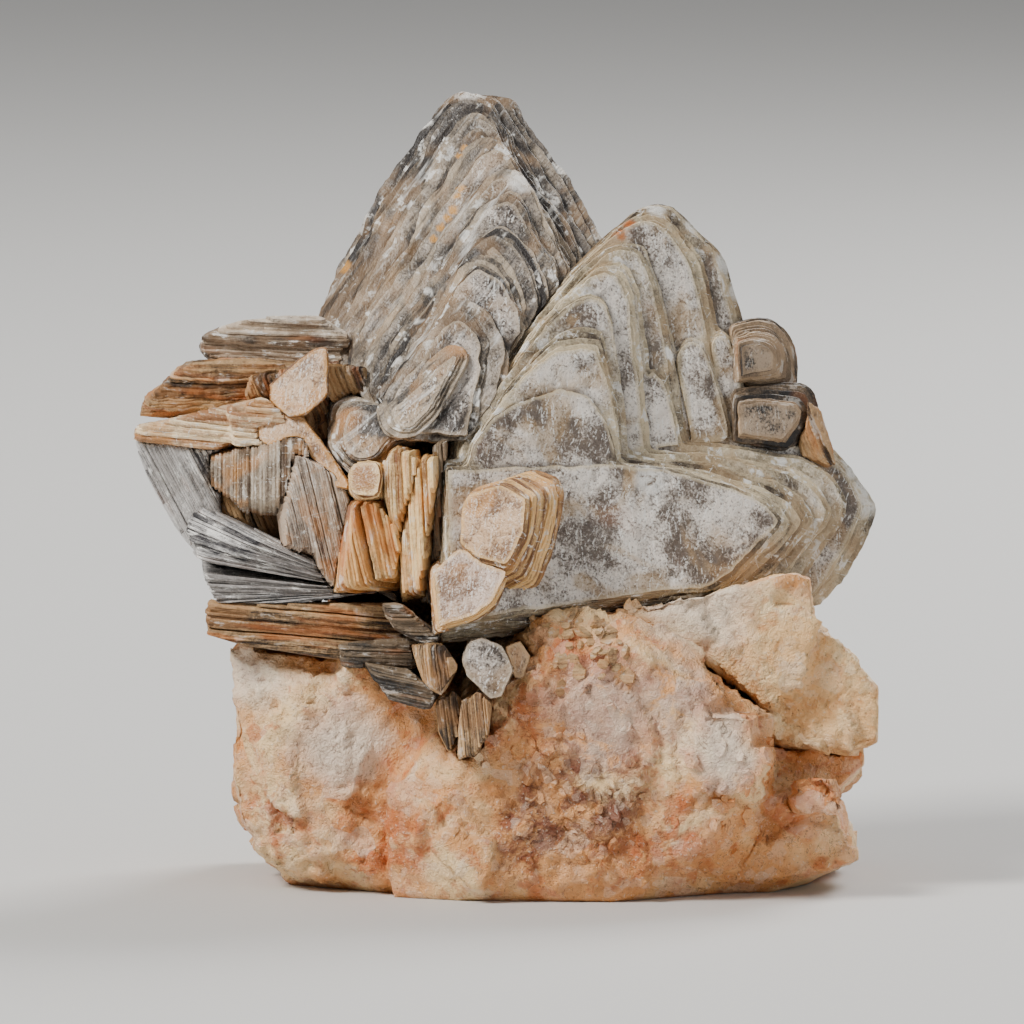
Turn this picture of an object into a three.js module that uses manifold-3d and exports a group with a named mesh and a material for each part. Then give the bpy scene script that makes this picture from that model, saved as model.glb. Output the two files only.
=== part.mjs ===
// A muscovite mica specimen: books of mica sheets grown on a block of feldspar.
// Millimetres, +Z up, front towards -Y. The origin is at the bottom centre of the whole piece.

import * as THREE from 'three';
import { ConvexGeometry } from 'three/addons/geometries/ConvexGeometry.js';
import { mergeVertices } from 'three/addons/utils/BufferGeometryUtils.js';
import Module from 'manifold-3d';

const wasm = await Module();
wasm.setup();

// Driving dimensions.
const GAP = 0.3; // clearance left between neighbouring crystals
const SIGHT = THREE.MathUtils.degToRad(6); // outlines are drawn from this far above the horizon
const OVERLAP = 0.5; // how far a terrace reaches down into the one that carries it
const FINEST = 0.03; // finest detail kept on a solid

// How the two big families of sheets lie: turned to the right, leaned back, and the depth at a crest.
const TALL = { turn: 0, lean: 30, crest: [-1.5, 125.5], depth: 27 };
const FRONT = { turn: 22, lean: 15, crest: [23.5, 108], depth: 11 };

// Finishes.
const MICA_GREY = { color: 0x9a9284, roughness: 0.38, metalness: 0.1 };
const MICA_SILVER = { color: 0xb3aea4, roughness: 0.34, metalness: 0.1 };
const MICA_GOLD = { color: 0xc39a68, roughness: 0.42, metalness: 0.1 };
const MICA_DARK = { color: 0x6a6156, roughness: 0.4, metalness: 0.1 };
const MICA_RUST = { color: 0xb5763c, roughness: 0.5, metalness: 0.05 };
const FELDSPAR_CREAM = { color: 0xdcb896, roughness: 0.7, metalness: 0 };
const FELDSPAR_RUST = { color: 0xc98a5c, roughness: 0.75, metalness: 0 };

// A point of the drawn front view, at a known depth.
function seen(x, v, y) {
  return new THREE.Vector3(x, y, (v - y * Math.sin(SIGHT)) / Math.cos(SIGHT));
}

// The same depth for every point of an outline.
function ring(y, outline) {
  return outline.map(([x, v]) => seen(x, v, y));
}

// Points at one height, given in plan.
function level(z, outline) {
  return outline.map(([x, y]) => new THREE.Vector3(x, y, z));
}

// A family of parallel sheets that passes through one point of the drawn view.
function family(turn, lean, [x, v], y) {
  const a = THREE.MathUtils.degToRad(turn);
  const b = THREE.MathUtils.degToRad(lean);
  const normal = new THREE.Vector3(
    Math.sin(a) * Math.cos(b),
    -Math.cos(a) * Math.cos(b),
    Math.sin(b),
  );
  return { normal, start: normal.dot(seen(x, v, y)) };
}

// Where the sheet at this rise lies behind each point of an outline of the drawn view.
function lay(sheets, rise, outline) {
  const sight = new THREE.Vector3(0, Math.cos(SIGHT), -Math.sin(SIGHT));
  return outline.map(([x, v]) => {
    const point = seen(x, v, 0);
    const far = sheets.start + rise - sheets.normal.dot(point);
    return point.addScaledVector(sight, far / sheets.normal.dot(sight));
  });
}

// An outline part of the way to the next one.
function between(from, to, share) {
  return from.map(([x, v], i) => [
    x + (to[i][0] - x) * share,
    v + (to[i][1] - v) * share,
  ]);
}

// Terraces from the back of a book to its front: [rise, outline, share of the step that slopes].
function terraces(sheets, plates) {
  return plates.slice(0, -1).map(([rise, outline, slope = 1], i) => {
    const [nextRise, nextOutline] = plates[i + 1];
    const foot = i > 0 ? rise - OVERLAP : rise;
    const top = between(outline, nextOutline, slope);
    return [...lay(sheets, foot, outline), ...lay(sheets, nextRise, top)];
  });
}

// A book with one outline at its back and one at its front.
function book(sheets, backRise, back, frontRise, front) {
  return [[...lay(sheets, backRise, back), ...lay(sheets, frontRise, front)]];
}

// The closed hull of some points, each widened by the clearance.
function hull(points, grow) {
  const widened = points.flatMap((p) => [
    p,
    ...[-grow, grow].flatMap((g) => [
      new THREE.Vector3(p.x + g, p.y, p.z),
      new THREE.Vector3(p.x, p.y + g, p.z),
      new THREE.Vector3(p.x, p.y, p.z + g),
    ]),
  ]);
  const geometry = new ConvexGeometry(grow > 0 ? widened : points);
  geometry.deleteAttribute('normal');
  return toSolid(mergeVertices(geometry, 1e-4));
}

function toSolid(geometry) {
  return new wasm.Manifold(new wasm.Mesh({
    numProp: 3,
    vertProperties: Float32Array.from(geometry.attributes.position.array),
    triVerts: Uint32Array.from(geometry.index.array),
  }));
}

// A solid without needless edges and slivers.
function clean(solid) {
  return solid.asOriginal().simplify(FINEST);
}

// All the lumps of one crystal in one solid.
function join(lumps, grow = 0) {
  return clean(lumps.map((points) => hull(points, grow)).reduce((sum, part) => sum.add(part)));
}

function boxesMeet(a, b) {
  return [0, 1, 2].every((i) => a.min[i] <= b.max[i] && b.min[i] <= a.max[i]);
}

function largest(solid) {
  return solid.decompose().reduce((big, part) => (part.volume() > big.volume() ? part : big));
}

function toGeometry(solid) {
  const { vertProperties, triVerts } = solid.getMesh();
  const geometry = new THREE.BufferGeometry();
  geometry.setAttribute('position', new THREE.Float32BufferAttribute(vertProperties, 3));
  geometry.setIndex(Array.from(triVerts));
  geometry.computeVertexNormals();
  return geometry;
}

// The tall book: its sheets lean back, and growth steps climb its front like nested arches.
// Each outline runs: crest left, crest, crest right, right flank, right foot, two hidden corners
// and the left flank from the foot up.
function tallBook() {
  const sheets = family(TALL.turn, TALL.lean, TALL.crest, TALL.depth);
  return terraces(sheets, [
    [-15, [
      [-7, 120.5], [-4.5, 122], [-0.5, 121.5], [12, 102], [19, 87.5], [13.5, 70],
      [-15.5, 70], [-24, 78.5], [-25, 87.5], [-20, 102.5],
    ]],
    [-9, [
      [-9, 123], [-5.5, 124.5], [0, 123.5], [14.5, 101], [22, 87.5], [15, 70], [-17, 70],
      [-26.5, 78.5], [-28.5, 87.5], [-22.5, 102.5],
    ], 0.6],
    [-3, [
      [-8.5, 124.5], [-4.5, 125.5], [0.5, 124.5], [15, 102.5], [23.5, 88], [15, 70],
      [-17, 70], [-27.5, 78.5], [-29.5, 89], [-21.5, 107],
    ], 0],
    [0.5, [
      [-8.5, 124.5], [-4.5, 125.5], [0.5, 124.5], [15, 102.5], [23.5, 88], [15, 70],
      [-17, 70], [-27.5, 78.5], [-29.5, 89], [-21.5, 107],
    ], 0.3],
    [1.5, [
      [-10.5, 124], [-7, 126.5], [-2, 125], [12.5, 102], [19.5, 88], [15, 70], [-17, 70],
      [-28.5, 79.5], [-30, 90], [-21, 109],
    ], 0],
    [3, [
      [-10, 123.5], [-6.5, 126], [-2.5, 124.5], [11.5, 101.5], [19, 88], [15, 70],
      [-17, 70], [-28, 79.5], [-30, 90], [-20.5, 108.5],
    ], 0.8],
    [5, [
      [-8.5, 123], [-5.5, 124.5], [-3, 123], [10.5, 100], [17, 88], [13.5, 70], [-17, 70],
      [-26.5, 79], [-28, 87.5], [-20, 104],
    ], 0.9],
    [7, [
      [-6.5, 119], [-4.5, 120], [-2, 118], [9.5, 98.5], [15, 87.5], [11.5, 70], [-17, 70],
      [-25, 78.5], [-25, 87], [-16.5, 102],
    ], 0.8],
    [9, [
      [-3.5, 113.5], [-0.5, 115], [1.5, 113.5], [9, 98], [13.5, 87.5], [10, 70], [-17, 70],
      [-23.5, 78], [-22.5, 86.5], [-11.5, 101],
    ], 0.8],
    [10.5, [
      [-3, 109.5], [0.5, 111], [3, 109.5], [8, 99.5], [11, 89], [7, 70], [-17, 70],
      [-22, 77.5], [-19.5, 86], [-9, 102],
    ], 0.3],
    [12.5, [
      [-3.5, 103.5], [-0.5, 105.5], [2.5, 104], [6.5, 97], [8, 87.5], [4.5, 70],
      [-16.5, 70], [-21, 77], [-17, 85.5], [-7, 99],
    ], 0.6],
    [14.5, [
      [-7, 98], [-4, 100], [-0.5, 98.5], [3.5, 92], [5.5, 85], [1.5, 70], [-16, 70],
      [-20, 77], [-15, 85], [-10.5, 93.5],
    ], 0.3],
    [16.5, [
      [-8.5, 91], [-6, 92.5], [-3, 91], [-0.5, 86.5], [0.5, 82.5], [-2.5, 70], [-16, 70],
      [-19.5, 76.5], [-13.5, 84.5], [-10.5, 88],
    ], 0.6],
    [18, [
      [-10, 87.5], [-7.5, 88.5], [-5.5, 87], [-4, 84.5], [-3.5, 80.5], [-6, 70],
      [-15.5, 70], [-19, 76], [-13, 82.5], [-11, 85],
    ], 0],
    [18.6, [
      [-10, 87.5], [-7.5, 88.5], [-5.5, 87], [-4, 84.5], [-3.5, 80.5], [-6, 70],
      [-15.5, 70], [-19, 76], [-13, 82.5], [-11, 85],
    ]],
  ]);
}

// The front book: a peak on the left of the family and a low wing on the right, one crystal.
function frontBook() {
  const sheets = family(FRONT.turn, FRONT.lean, FRONT.crest, FRONT.depth);
  const peak = terraces(sheets, [
    [-14, [
      [21.5, 103.5], [23.5, 105], [26, 104], [31.5, 98], [34, 88], [37, 67.5], [-5, 67.5],
      [-5, 70], [8.5, 90], [16, 99],
    ]],
    [-8, [
      [20.5, 106], [23.5, 107], [26.5, 106], [34, 100], [36.5, 89], [39.5, 67], [-8, 67.5],
      [-8.5, 70], [6.5, 92], [15, 100.5],
    ], 0.6],
    [-2, [
      [21, 107], [23.5, 108], [26.5, 107.5], [35, 99], [38, 89.5], [41.5, 66.5], [-10, 68],
      [-10, 70.5], [5.5, 93], [15, 102],
    ], 0],
    [0.5, [
      [21, 107], [23.5, 108], [26.5, 107.5], [35, 99], [38, 89.5], [41.5, 66.5], [-10, 68],
      [-10, 70.5], [5.5, 93], [15, 102],
    ], 0.6],
    [2.5, [
      [20.5, 106], [23.5, 107], [26, 106.5], [32, 100], [35, 87.5], [38.5, 67],
      [-9.5, 67.5], [-9.5, 70], [6, 92], [15.5, 101],
    ], 0.4],
    [4.5, [
      [16, 100.5], [19, 101.5], [22, 101], [25, 94], [29.5, 71.5], [31, 65.5], [-9, 64.5],
      [-8.5, 70], [6.5, 91.5], [12.5, 98],
    ], 0.4],
    [6.5, [
      [15, 98], [17, 98.5], [19.5, 98], [21.5, 94], [24, 71.5], [24.5, 65], [-9, 64],
      [-8, 70], [4, 87.5], [10.5, 94.5],
    ], 0.4],
    [8.5, [
      [11, 93], [13, 94], [15.5, 93], [17, 89], [19, 70], [20, 64.5], [-8.5, 63.5],
      [-7, 69.5], [2.5, 84], [8.5, 91],
    ], 0.4],
    [10, [
      [10, 89], [13, 89.5], [15.5, 89], [17, 81], [18, 70], [19, 64.5], [-8, 63.5],
      [-6, 69.5], [0, 78.5], [6, 85.5],
    ], 0.4],
    [12, [
      [3.5, 76.5], [8.5, 78], [13, 77], [16, 73], [17.5, 68.5], [18, 64.5], [-7, 63],
      [-5.5, 69], [-2.5, 73.5], [0.5, 75.5],
    ], 0],
    [13, [
      [3.5, 76.5], [8.5, 78], [13, 77], [16, 73], [17.5, 68.5], [18, 64.5], [-7, 63],
      [-5.5, 69], [-2.5, 73.5], [0.5, 75.5],
    ]],
  ]);
  const steps = [
    book(sheets, 1, [
      [26, 84], [29, 87.5], [32, 86.5], [34.5, 80.5], [38, 69], [29.5, 68.5],
    ],
      5.6, [
      [27, 83], [29, 86], [31, 85], [33, 80], [35.5, 70], [30, 69],
    ]),
    book(sheets, 1, [
      [31.5, 86], [34, 88.5], [36.5, 86.5], [38, 80.5], [40, 69], [35.5, 68.5],
    ],
      4.4, [
      [32.5, 85], [34, 87], [35.5, 85.5], [37, 80.5], [38, 70], [35.5, 69],
    ]),
    book(sheets, 3, [
      [20.5, 79.5], [23, 82], [26, 80.5], [28.5, 74], [30, 68.5], [23, 68],
    ],
      7.4, [
      [21.5, 78.5], [23, 81], [25, 79.5], [26.5, 74], [27.5, 69], [23.5, 68.5],
    ]),
  ].flat();
  const wing = terraces(sheets, [
    [-10, [
      [-9, 65], [18, 68], [38, 68.5], [46.5, 66], [51, 61.5], [53.5, 57.5], [52.5, 54],
      [45, 45.5], [15, 44], [-7, 41.5],
    ]],
    [-4, [
      [-10, 66], [18, 70], [39.5, 71.5], [49.5, 69], [54, 64], [57, 59], [56, 54.5],
      [48, 44.5], [15, 43], [-9.5, 39.5],
    ], 0.6],
    [1.5, [
      [-10, 67], [18, 70.5], [40.5, 72], [50, 70], [55, 65.5], [59, 59], [58.5, 57],
      [53.5, 47.5], [49.5, 43.5], [15, 42], [-10.5, 38],
    ], 0],
    [3, [
      [-10, 67], [18, 70.5], [40.5, 72], [50, 70], [55, 65.5], [59, 59], [58.5, 57],
      [53.5, 47.5], [49.5, 43.5], [15, 42], [-10.5, 38],
    ], 0.6],
    [5, [
      [-10, 66.5], [18, 70], [37.5, 69], [48, 67], [52.5, 64.5], [55, 60.5], [54.5, 58],
      [49, 50], [45.5, 44.5], [15, 42.5], [-10.5, 38],
    ], 0.5],
    [7, [
      [-10, 66.5], [17.5, 69], [36.5, 67.5], [46.5, 65.5], [50.5, 62.5], [52.5, 59],
      [52, 57], [45.5, 49], [42, 45], [14, 43], [-10.5, 38],
    ], 0.5],
    [9, [
      [-10, 66.5], [17, 68], [33.5, 66], [43.5, 63.5], [47.5, 61], [49.5, 58], [49, 56],
      [42.5, 48.5], [39, 46], [13.5, 43.5], [-10.5, 38.5],
    ], 0.5],
    [11, [
      [-10, 66], [15.5, 67], [29.5, 65.5], [40, 62], [44.5, 59.5], [46.5, 56.5],
      [45.5, 54.5], [39, 48.5], [35.5, 46], [12.5, 44], [-10.5, 39.5],
    ], 0.4],
    [13.5, [
      [-9.5, 65], [15, 66], [19.5, 66], [29.5, 63.5], [36.5, 60.5], [39, 58], [38.5, 56.5],
      [31, 48.5], [26.5, 46], [11, 45.5], [-9, 42],
    ]],
  ]);
  return [...peak, ...steps, ...wing];
}

// A finger of sheets that runs down from the tall book and spreads into a rounded foot.
function fingerBook() {
  const sheets = family(-8, 32, [-10.5, 79.5], -17);
  return [
    ...book(sheets, -9, [
      [-22.5, 75.5], [-11.5, 86], [-9, 86.5], [-6, 86], [-4.5, 83.5], [-6, 78.5],
      [-10, 72.5], [-13.5, 69], [-18, 68], [-21.5, 70],
    ],
      3, [
      [-20.5, 75], [-10.5, 84], [-9, 85], [-7, 84.5], [-6, 83], [-8, 79], [-11, 73.5],
      [-14, 70.5], [-17, 70], [-19.5, 71.5],
    ]),
    ...book(sheets, -9, [
      [-28.5, 76], [-25, 77.5], [-20.5, 76.5], [-17, 73], [-16.5, 68], [-19, 64.5],
      [-25, 63.5], [-29, 68],
    ],
      0, [
      [-26.5, 75], [-24.5, 76], [-21.5, 75.5], [-19, 72.5], [-18.5, 68.5], [-20.5, 66],
      [-24.5, 65.5], [-27.5, 69],
    ]),
  ];
}

// Small books on the right shoulder.
function roundSideBook() {
  const sheets = family(35, 10, [40.5, 84], 9);
  return terraces(sheets, [
    [-9, [
      [35.5, 87], [39.5, 88.5], [42.5, 87.5], [44.5, 85.5], [45.5, 83], [45, 79],
      [36, 78.5],
    ]],
    [-3, [
      [35.5, 88.5], [40, 89.5], [43, 89], [45.5, 86.5], [46.5, 83.5], [46.5, 78.5],
      [35.5, 78],
    ], 0],
    [1, [
      [35.5, 88.5], [40, 89.5], [43, 89], [45.5, 86.5], [46.5, 83.5], [46.5, 78.5],
      [35.5, 78],
    ], 1],
    [5, [
      [36, 86], [39, 87], [41.5, 86.5], [43.5, 85], [44, 82.5], [43.5, 79.5], [36.5, 78.5],
    ]],
  ]);
}

function squareSideBook() {
  const sheets = family(28, 12, [43.5, 74], 6);
  return terraces(sheets, [
    [-9, [
      [36.5, 77], [41, 78], [46.5, 77.5], [48, 75], [47.5, 72.5], [44.5, 69], [40.5, 69.5],
      [36.5, 70],
    ]],
    [-3, [
      [36, 78], [41, 79], [48, 78.5], [49.5, 75.5], [49, 72.5], [46, 67.5], [40.5, 68.5],
      [36, 69],
    ], 0],
    [1.5, [
      [36, 78], [41, 79], [48, 78.5], [49.5, 75.5], [49, 72.5], [46, 67.5], [40.5, 68.5],
      [36, 69],
    ], 1],
    [5, [
      [36.5, 76], [41, 77], [46, 76.5], [47.5, 74.5], [47, 72.5], [44.5, 69], [40, 69.5],
      [36.5, 70],
    ]],
  ]);
}

function rustySliver() {
  return [[
    ...ring(2, [
      [48, 76.5], [50, 75], [50.5, 71], [53, 66], [51.5, 65], [47, 67], [46.5, 70],
    ]),
    ...ring(11, [
      [48, 76], [50, 74.5], [50.5, 70.5], [52.5, 66], [51, 65.5], [47, 68],
    ]),
  ]];
}

// Books that lie nearly level on the left.
function shelfBook() {
  return [[
    ...ring(-4, [
      [-49.5, 84.5], [-49, 86], [-46.5, 87.5], [-42, 89], [-30, 89.5], [-25, 86.5],
      [-25, 80.5], [-46.5, 82],
    ]),
    ...ring(11, [
      [-48.5, 85], [-47.5, 86], [-41, 88.5], [-28.5, 89.5], [-25, 86], [-25, 80.5],
      [-45.5, 82],
    ]),
    ...ring(19, [
      [-42.5, 85], [-39, 87], [-26.5, 88], [-25, 86], [-25, 82], [-40, 82.5],
    ]),
  ]];
}

function raggedBook() {
  return [[
    ...ring(-8, [
      [-58.5, 74], [-57, 76.5], [-53.5, 80], [-50.5, 82], [-42.5, 82.5], [-32.5, 81.5],
      [-31.5, 75.5], [-42.5, 74], [-51.5, 73],
    ]),
    ...ring(9, [
      [-57, 74.5], [-54, 78], [-49, 81.5], [-32.5, 81.5], [-31.5, 75.5], [-50, 73.5],
    ]),
    ...ring(17, [
      [-50, 75.5], [-47.5, 78.5], [-42.5, 81], [-32.5, 81], [-31.5, 76], [-46, 75],
    ]),
  ]];
}

function leafPlate() {
  const sheets = family(-12, 28, [-33, 79.5], -14);
  const outline = [
      [-28.5, 84.5], [-30, 84.5], [-33, 82.5], [-37.5, 78.5], [-37.5, 76], [-34.5, 73.5],
      [-32, 74], [-28.5, 77],
    ];
  return book(sheets, -1.4, outline, 1, outline);
}

function bridgePlate() {
  const sheets = family(-6, 30, [-30.5, 70], -18);
  const outline = [
      [-40, 75.5], [-35.5, 75], [-33, 74], [-28.5, 68], [-24.5, 62], [-27.5, 62.5],
      [-33, 66], [-39, 70],
    ];
  return book(sheets, -4, outline, 0.6, outline);
}

function creamBook() {
  return [
    [
      ...ring(-15, [
      [-59, 72], [-59, 70], [-46.5, 68.5], [-42, 70.5], [-39, 71.5], [-39, 76],
      [-42, 75.5], [-49, 74],
    ]),
      ...ring(3, [
      [-58, 72], [-58, 70], [-39, 69.5], [-39, 76], [-49, 74],
    ]),
      ...ring(10, [
      [-50.5, 73], [-49, 70.5], [-39, 70], [-39, 75], [-46.5, 74],
    ]),
    ],
    [
      ...ring(-17, [
      [-44, 75], [-39, 76.5], [-35, 74.5], [-34.5, 71.5], [-38, 69], [-43.5, 69],
    ]),
      ...ring(4, [
      [-43.5, 75], [-38.5, 76], [-34.5, 74], [-35.5, 70], [-42.5, 69],
    ]),
    ],
  ];
}

function sideBook() {
  return [[
    ...ring(-14, [
      [-59, 70], [-58.5, 68], [-57, 64], [-53, 57], [-50.5, 53.5], [-48, 51], [-45.5, 50],
      [-45.5, 69],
    ]),
    ...ring(4, [
      [-58, 70], [-57.5, 66], [-52.5, 55.5], [-48, 51], [-45, 50.5], [-45, 70],
    ]),
    ...ring(12, [
      [-52.5, 70], [-51.5, 62], [-49, 55.5], [-45, 51], [-45, 70],
    ]),
  ]];
}

// A crested book whose sheet edges stand like a comb.
function combBook() {
  const sheets = family(-12, 18, [-38.5, 65], -20);
  return [
    ...book(sheets, -6, [
      [-47, 68], [-42.5, 68], [-35, 71.5], [-31.5, 70.5], [-30, 63.5], [-33, 58],
      [-41, 58], [-47, 62.5],
    ],
      1.5, [
      [-47, 66], [-42.5, 65], [-38.5, 67], [-38, 60.5], [-42.5, 59.5], [-46, 62],
    ]),
    ...book(sheets, -6, [
      [-43.5, 68], [-35, 71.5], [-31.5, 70.5], [-30, 63.5], [-33, 58], [-41, 58],
    ],
      1.5, [
      [-42.5, 65], [-35, 69.5], [-32.5, 69.5], [-31, 66], [-31.5, 63], [-35.5, 61],
      [-39, 60],
    ]),
  ];
}

// The scaly mass inside the left group, seen in the recesses between its books.
function innerBook() {
  return [
    [
      ...ring(-13, [
      [-47, 65], [-33, 71.5], [-26, 73], [-17, 73], [-11.5, 68], [-12, 44], [-42.5, 44],
      [-45, 50.5], [-48, 57],
    ]),
      ...ring(14, [
      [-46.5, 73], [-28.5, 77], [-17, 77], [-12.5, 68], [-14, 44], [-42.5, 44],
    ]),
    ],
    [
      ...ring(-10, [
      [-41, 80.5], [-28.5, 81.5], [-17, 81.5], [-12.5, 73], [-33, 70], [-42.5, 73],
    ]),
      ...ring(12, [
      [-39.5, 79.5], [-28.5, 81], [-17, 81], [-17, 71.5], [-39.5, 71.5],
    ]),
    ],
  ];
}

function slantingSlab() {
  const sheets = family(18, 8, [-30, 58.5], -23);
  return [
    ...book(sheets, -6, [
      [-34.5, 68], [-30, 67], [-26, 64], [-24, 60], [-25, 53], [-30, 50.5], [-35.5, 52.5],
      [-36.5, 58],
    ],
      1, [
      [-33, 67], [-30, 66], [-26.5, 63.5], [-25, 60], [-26, 54], [-30.5, 52], [-35, 53.5],
      [-35, 58],
    ]),
    ...book(sheets, -6, [
      [-33, 57], [-24, 60], [-25, 54], [-26, 46.5], [-28, 45.5], [-30, 48.5],
    ],
      1, [
      [-31.5, 57], [-25, 59], [-26, 54], [-26.5, 47.5], [-27.5, 46.5], [-29.5, 49.5],
    ]),
  ];
}

// A fan of sheets that opens to the left, on top of a rusty split book.
function fanBook() {
  return [[
    ...ring(-17, [
      [-51, 57.5], [-48.5, 59], [-45, 58], [-39, 54], [-49, 51], [-50.5, 55],
    ]),
    ...ring(-24, [
      [-39, 54], [-33, 50.5], [-28, 47.5], [-18, 45.5], [-17.5, 44], [-46, 44],
      [-48.5, 50],
    ]),
    ...ring(4, [
      [-50, 57], [-48, 58.5], [-39, 54], [-28, 47.5], [-18, 45], [-18, 44], [-45.5, 44],
      [-48.5, 50.5],
    ]),
    ...ring(12, [
      [-42.5, 53], [-33, 50], [-18.5, 45], [-18.5, 44], [-41, 44],
    ]),
  ]];
}

function splitBook() {
  return [[
    ...ring(-24, [
      [-47, 44.5], [-48, 42], [-47.5, 39], [-42, 37.5], [-33, 36], [-26, 35], [-20.5, 36],
      [-16, 38.5], [-16.5, 42], [-20.5, 44.5],
    ]),
    ...ring(6, [
      [-46.5, 44], [-47, 41], [-44.5, 38.5], [-33, 36.5], [-18, 38.5], [-18, 44],
    ]),
    ...ring(16, [
      [-39, 43.5], [-39, 39], [-30, 37.5], [-18.5, 39.5], [-18.5, 43.5],
    ]),
  ]];
}

// Upright books at the middle of the group.
function leftUpright() {
  const sheets = family(-20, 12, [-17, 63.5], -27);
  return [
    ...book(sheets, -6, [
      [-20, 65], [-19, 68], [-17, 69], [-14, 68], [-13, 66], [-15, 58], [-17, 50.5],
      [-19.5, 60],
    ],
      0.8, [
      [-19.5, 65], [-18, 67.5], [-17, 68], [-15, 67.5], [-14, 66], [-16.5, 59],
      [-17.5, 57.5], [-19, 61],
    ]),
  ];
}

function rightUpright() {
  const sheets = family(-28, 8, [-13, 57], -29);
  return book(sheets, -6, [
      [-14.5, 65.5], [-13, 67.5], [-10.5, 67.5], [-10.5, 63.5], [-11.5, 55.5], [-12.5, 45],
      [-16.5, 44], [-17, 54],
    ],
    0.8, [
      [-14, 65], [-13, 66.5], [-11.5, 67], [-11.5, 63.5], [-12.5, 55.5], [-14, 46],
      [-16, 46], [-16.5, 54],
    ]);
}

function darkUpright() {
  const sheets = family(-30, 5, [-11, 57], -26);
  const outline = [
      [-11.5, 68.5], [-9.5, 70], [-10, 60], [-10.5, 53], [-11.5, 44], [-13.5, 44],
      [-12.5, 55.5],
    ];
  return book(sheets, -7, outline, 0.6, outline);
}

function tanBlock() {
  const sheets = family(-25, 15, [-22, 63.5], -27);
  return book(sheets, -5, [
      [-25, 66], [-23, 67], [-19.5, 66.5], [-19, 64.5], [-19.5, 60.5], [-23, 60],
      [-25, 61.5],
    ],
    0.6, [
      [-24.5, 65.5], [-22.5, 66], [-20.5, 66], [-20, 64], [-20.5, 61], [-23, 60.5],
      [-24.5, 62],
    ]);
}

function rustyBook() {
  const sheets = family(14, 6, [-22, 53], -28);
  return book(sheets, -7, [
      [-25, 60], [-22.5, 61], [-19.5, 60.5], [-16.5, 57], [-15.5, 52.5], [-16.5, 46.5],
      [-22, 45.5], [-27.5, 45.5], [-26, 50.5],
    ],
    0.6, [
      [-24, 59], [-22.5, 60], [-20.5, 60], [-18, 56.5], [-17, 52.5], [-18, 48], [-22, 47],
      [-26, 46.5], [-25, 51],
    ]);
}

// A thick six-sided book that stands turned to the left, and the pale plate at its foot.
function hexBook() {
  const sheets = family(-30, 12, [-2.5, 56], -35);
  return [
    ...book(sheets, -11, [
      [-3.5, 52.5], [-2.5, 60], [1, 63.5], [4.5, 65], [8, 63.5], [9, 61], [7.5, 53.5],
      [5, 46.5], [0.5, 44.5], [-2, 43],
    ],
      0, [
      [-7.5, 53.5], [-7, 59.5], [-6, 61.5], [-1, 63], [3, 60.5], [2.5, 55], [0, 50],
      [-4.5, 51],
    ]),
  ];
}

function palePlate() {
  const sheets = family(-12, 25, [-6, 46.5], -36);
  return book(sheets, -7, [
      [-12.5, 49.5], [-8, 53], [0.5, 50.5], [1, 49], [-1.5, 43.5], [-4.5, 41],
      [-11.5, 38.5], [-11, 44],
    ],
    0.5, [
      [-11.5, 49], [-7.5, 52.5], [-0.5, 50], [0, 49], [-2.5, 44], [-5.5, 42],
      [-10.5, 40.5], [-10.5, 44],
    ]);
}

function splinter(y, depth, front, back) {
  return [[...ring(y, front), ...ring(y + depth, back)]];
}

// Small books set in the feldspar below the pale plate.
function smallBook(turn, lean, y, depth, outline) {
  const sheets = family(turn, lean, outline[0], y);
  return book(sheets, -depth, outline, 0, outline);
}

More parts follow.
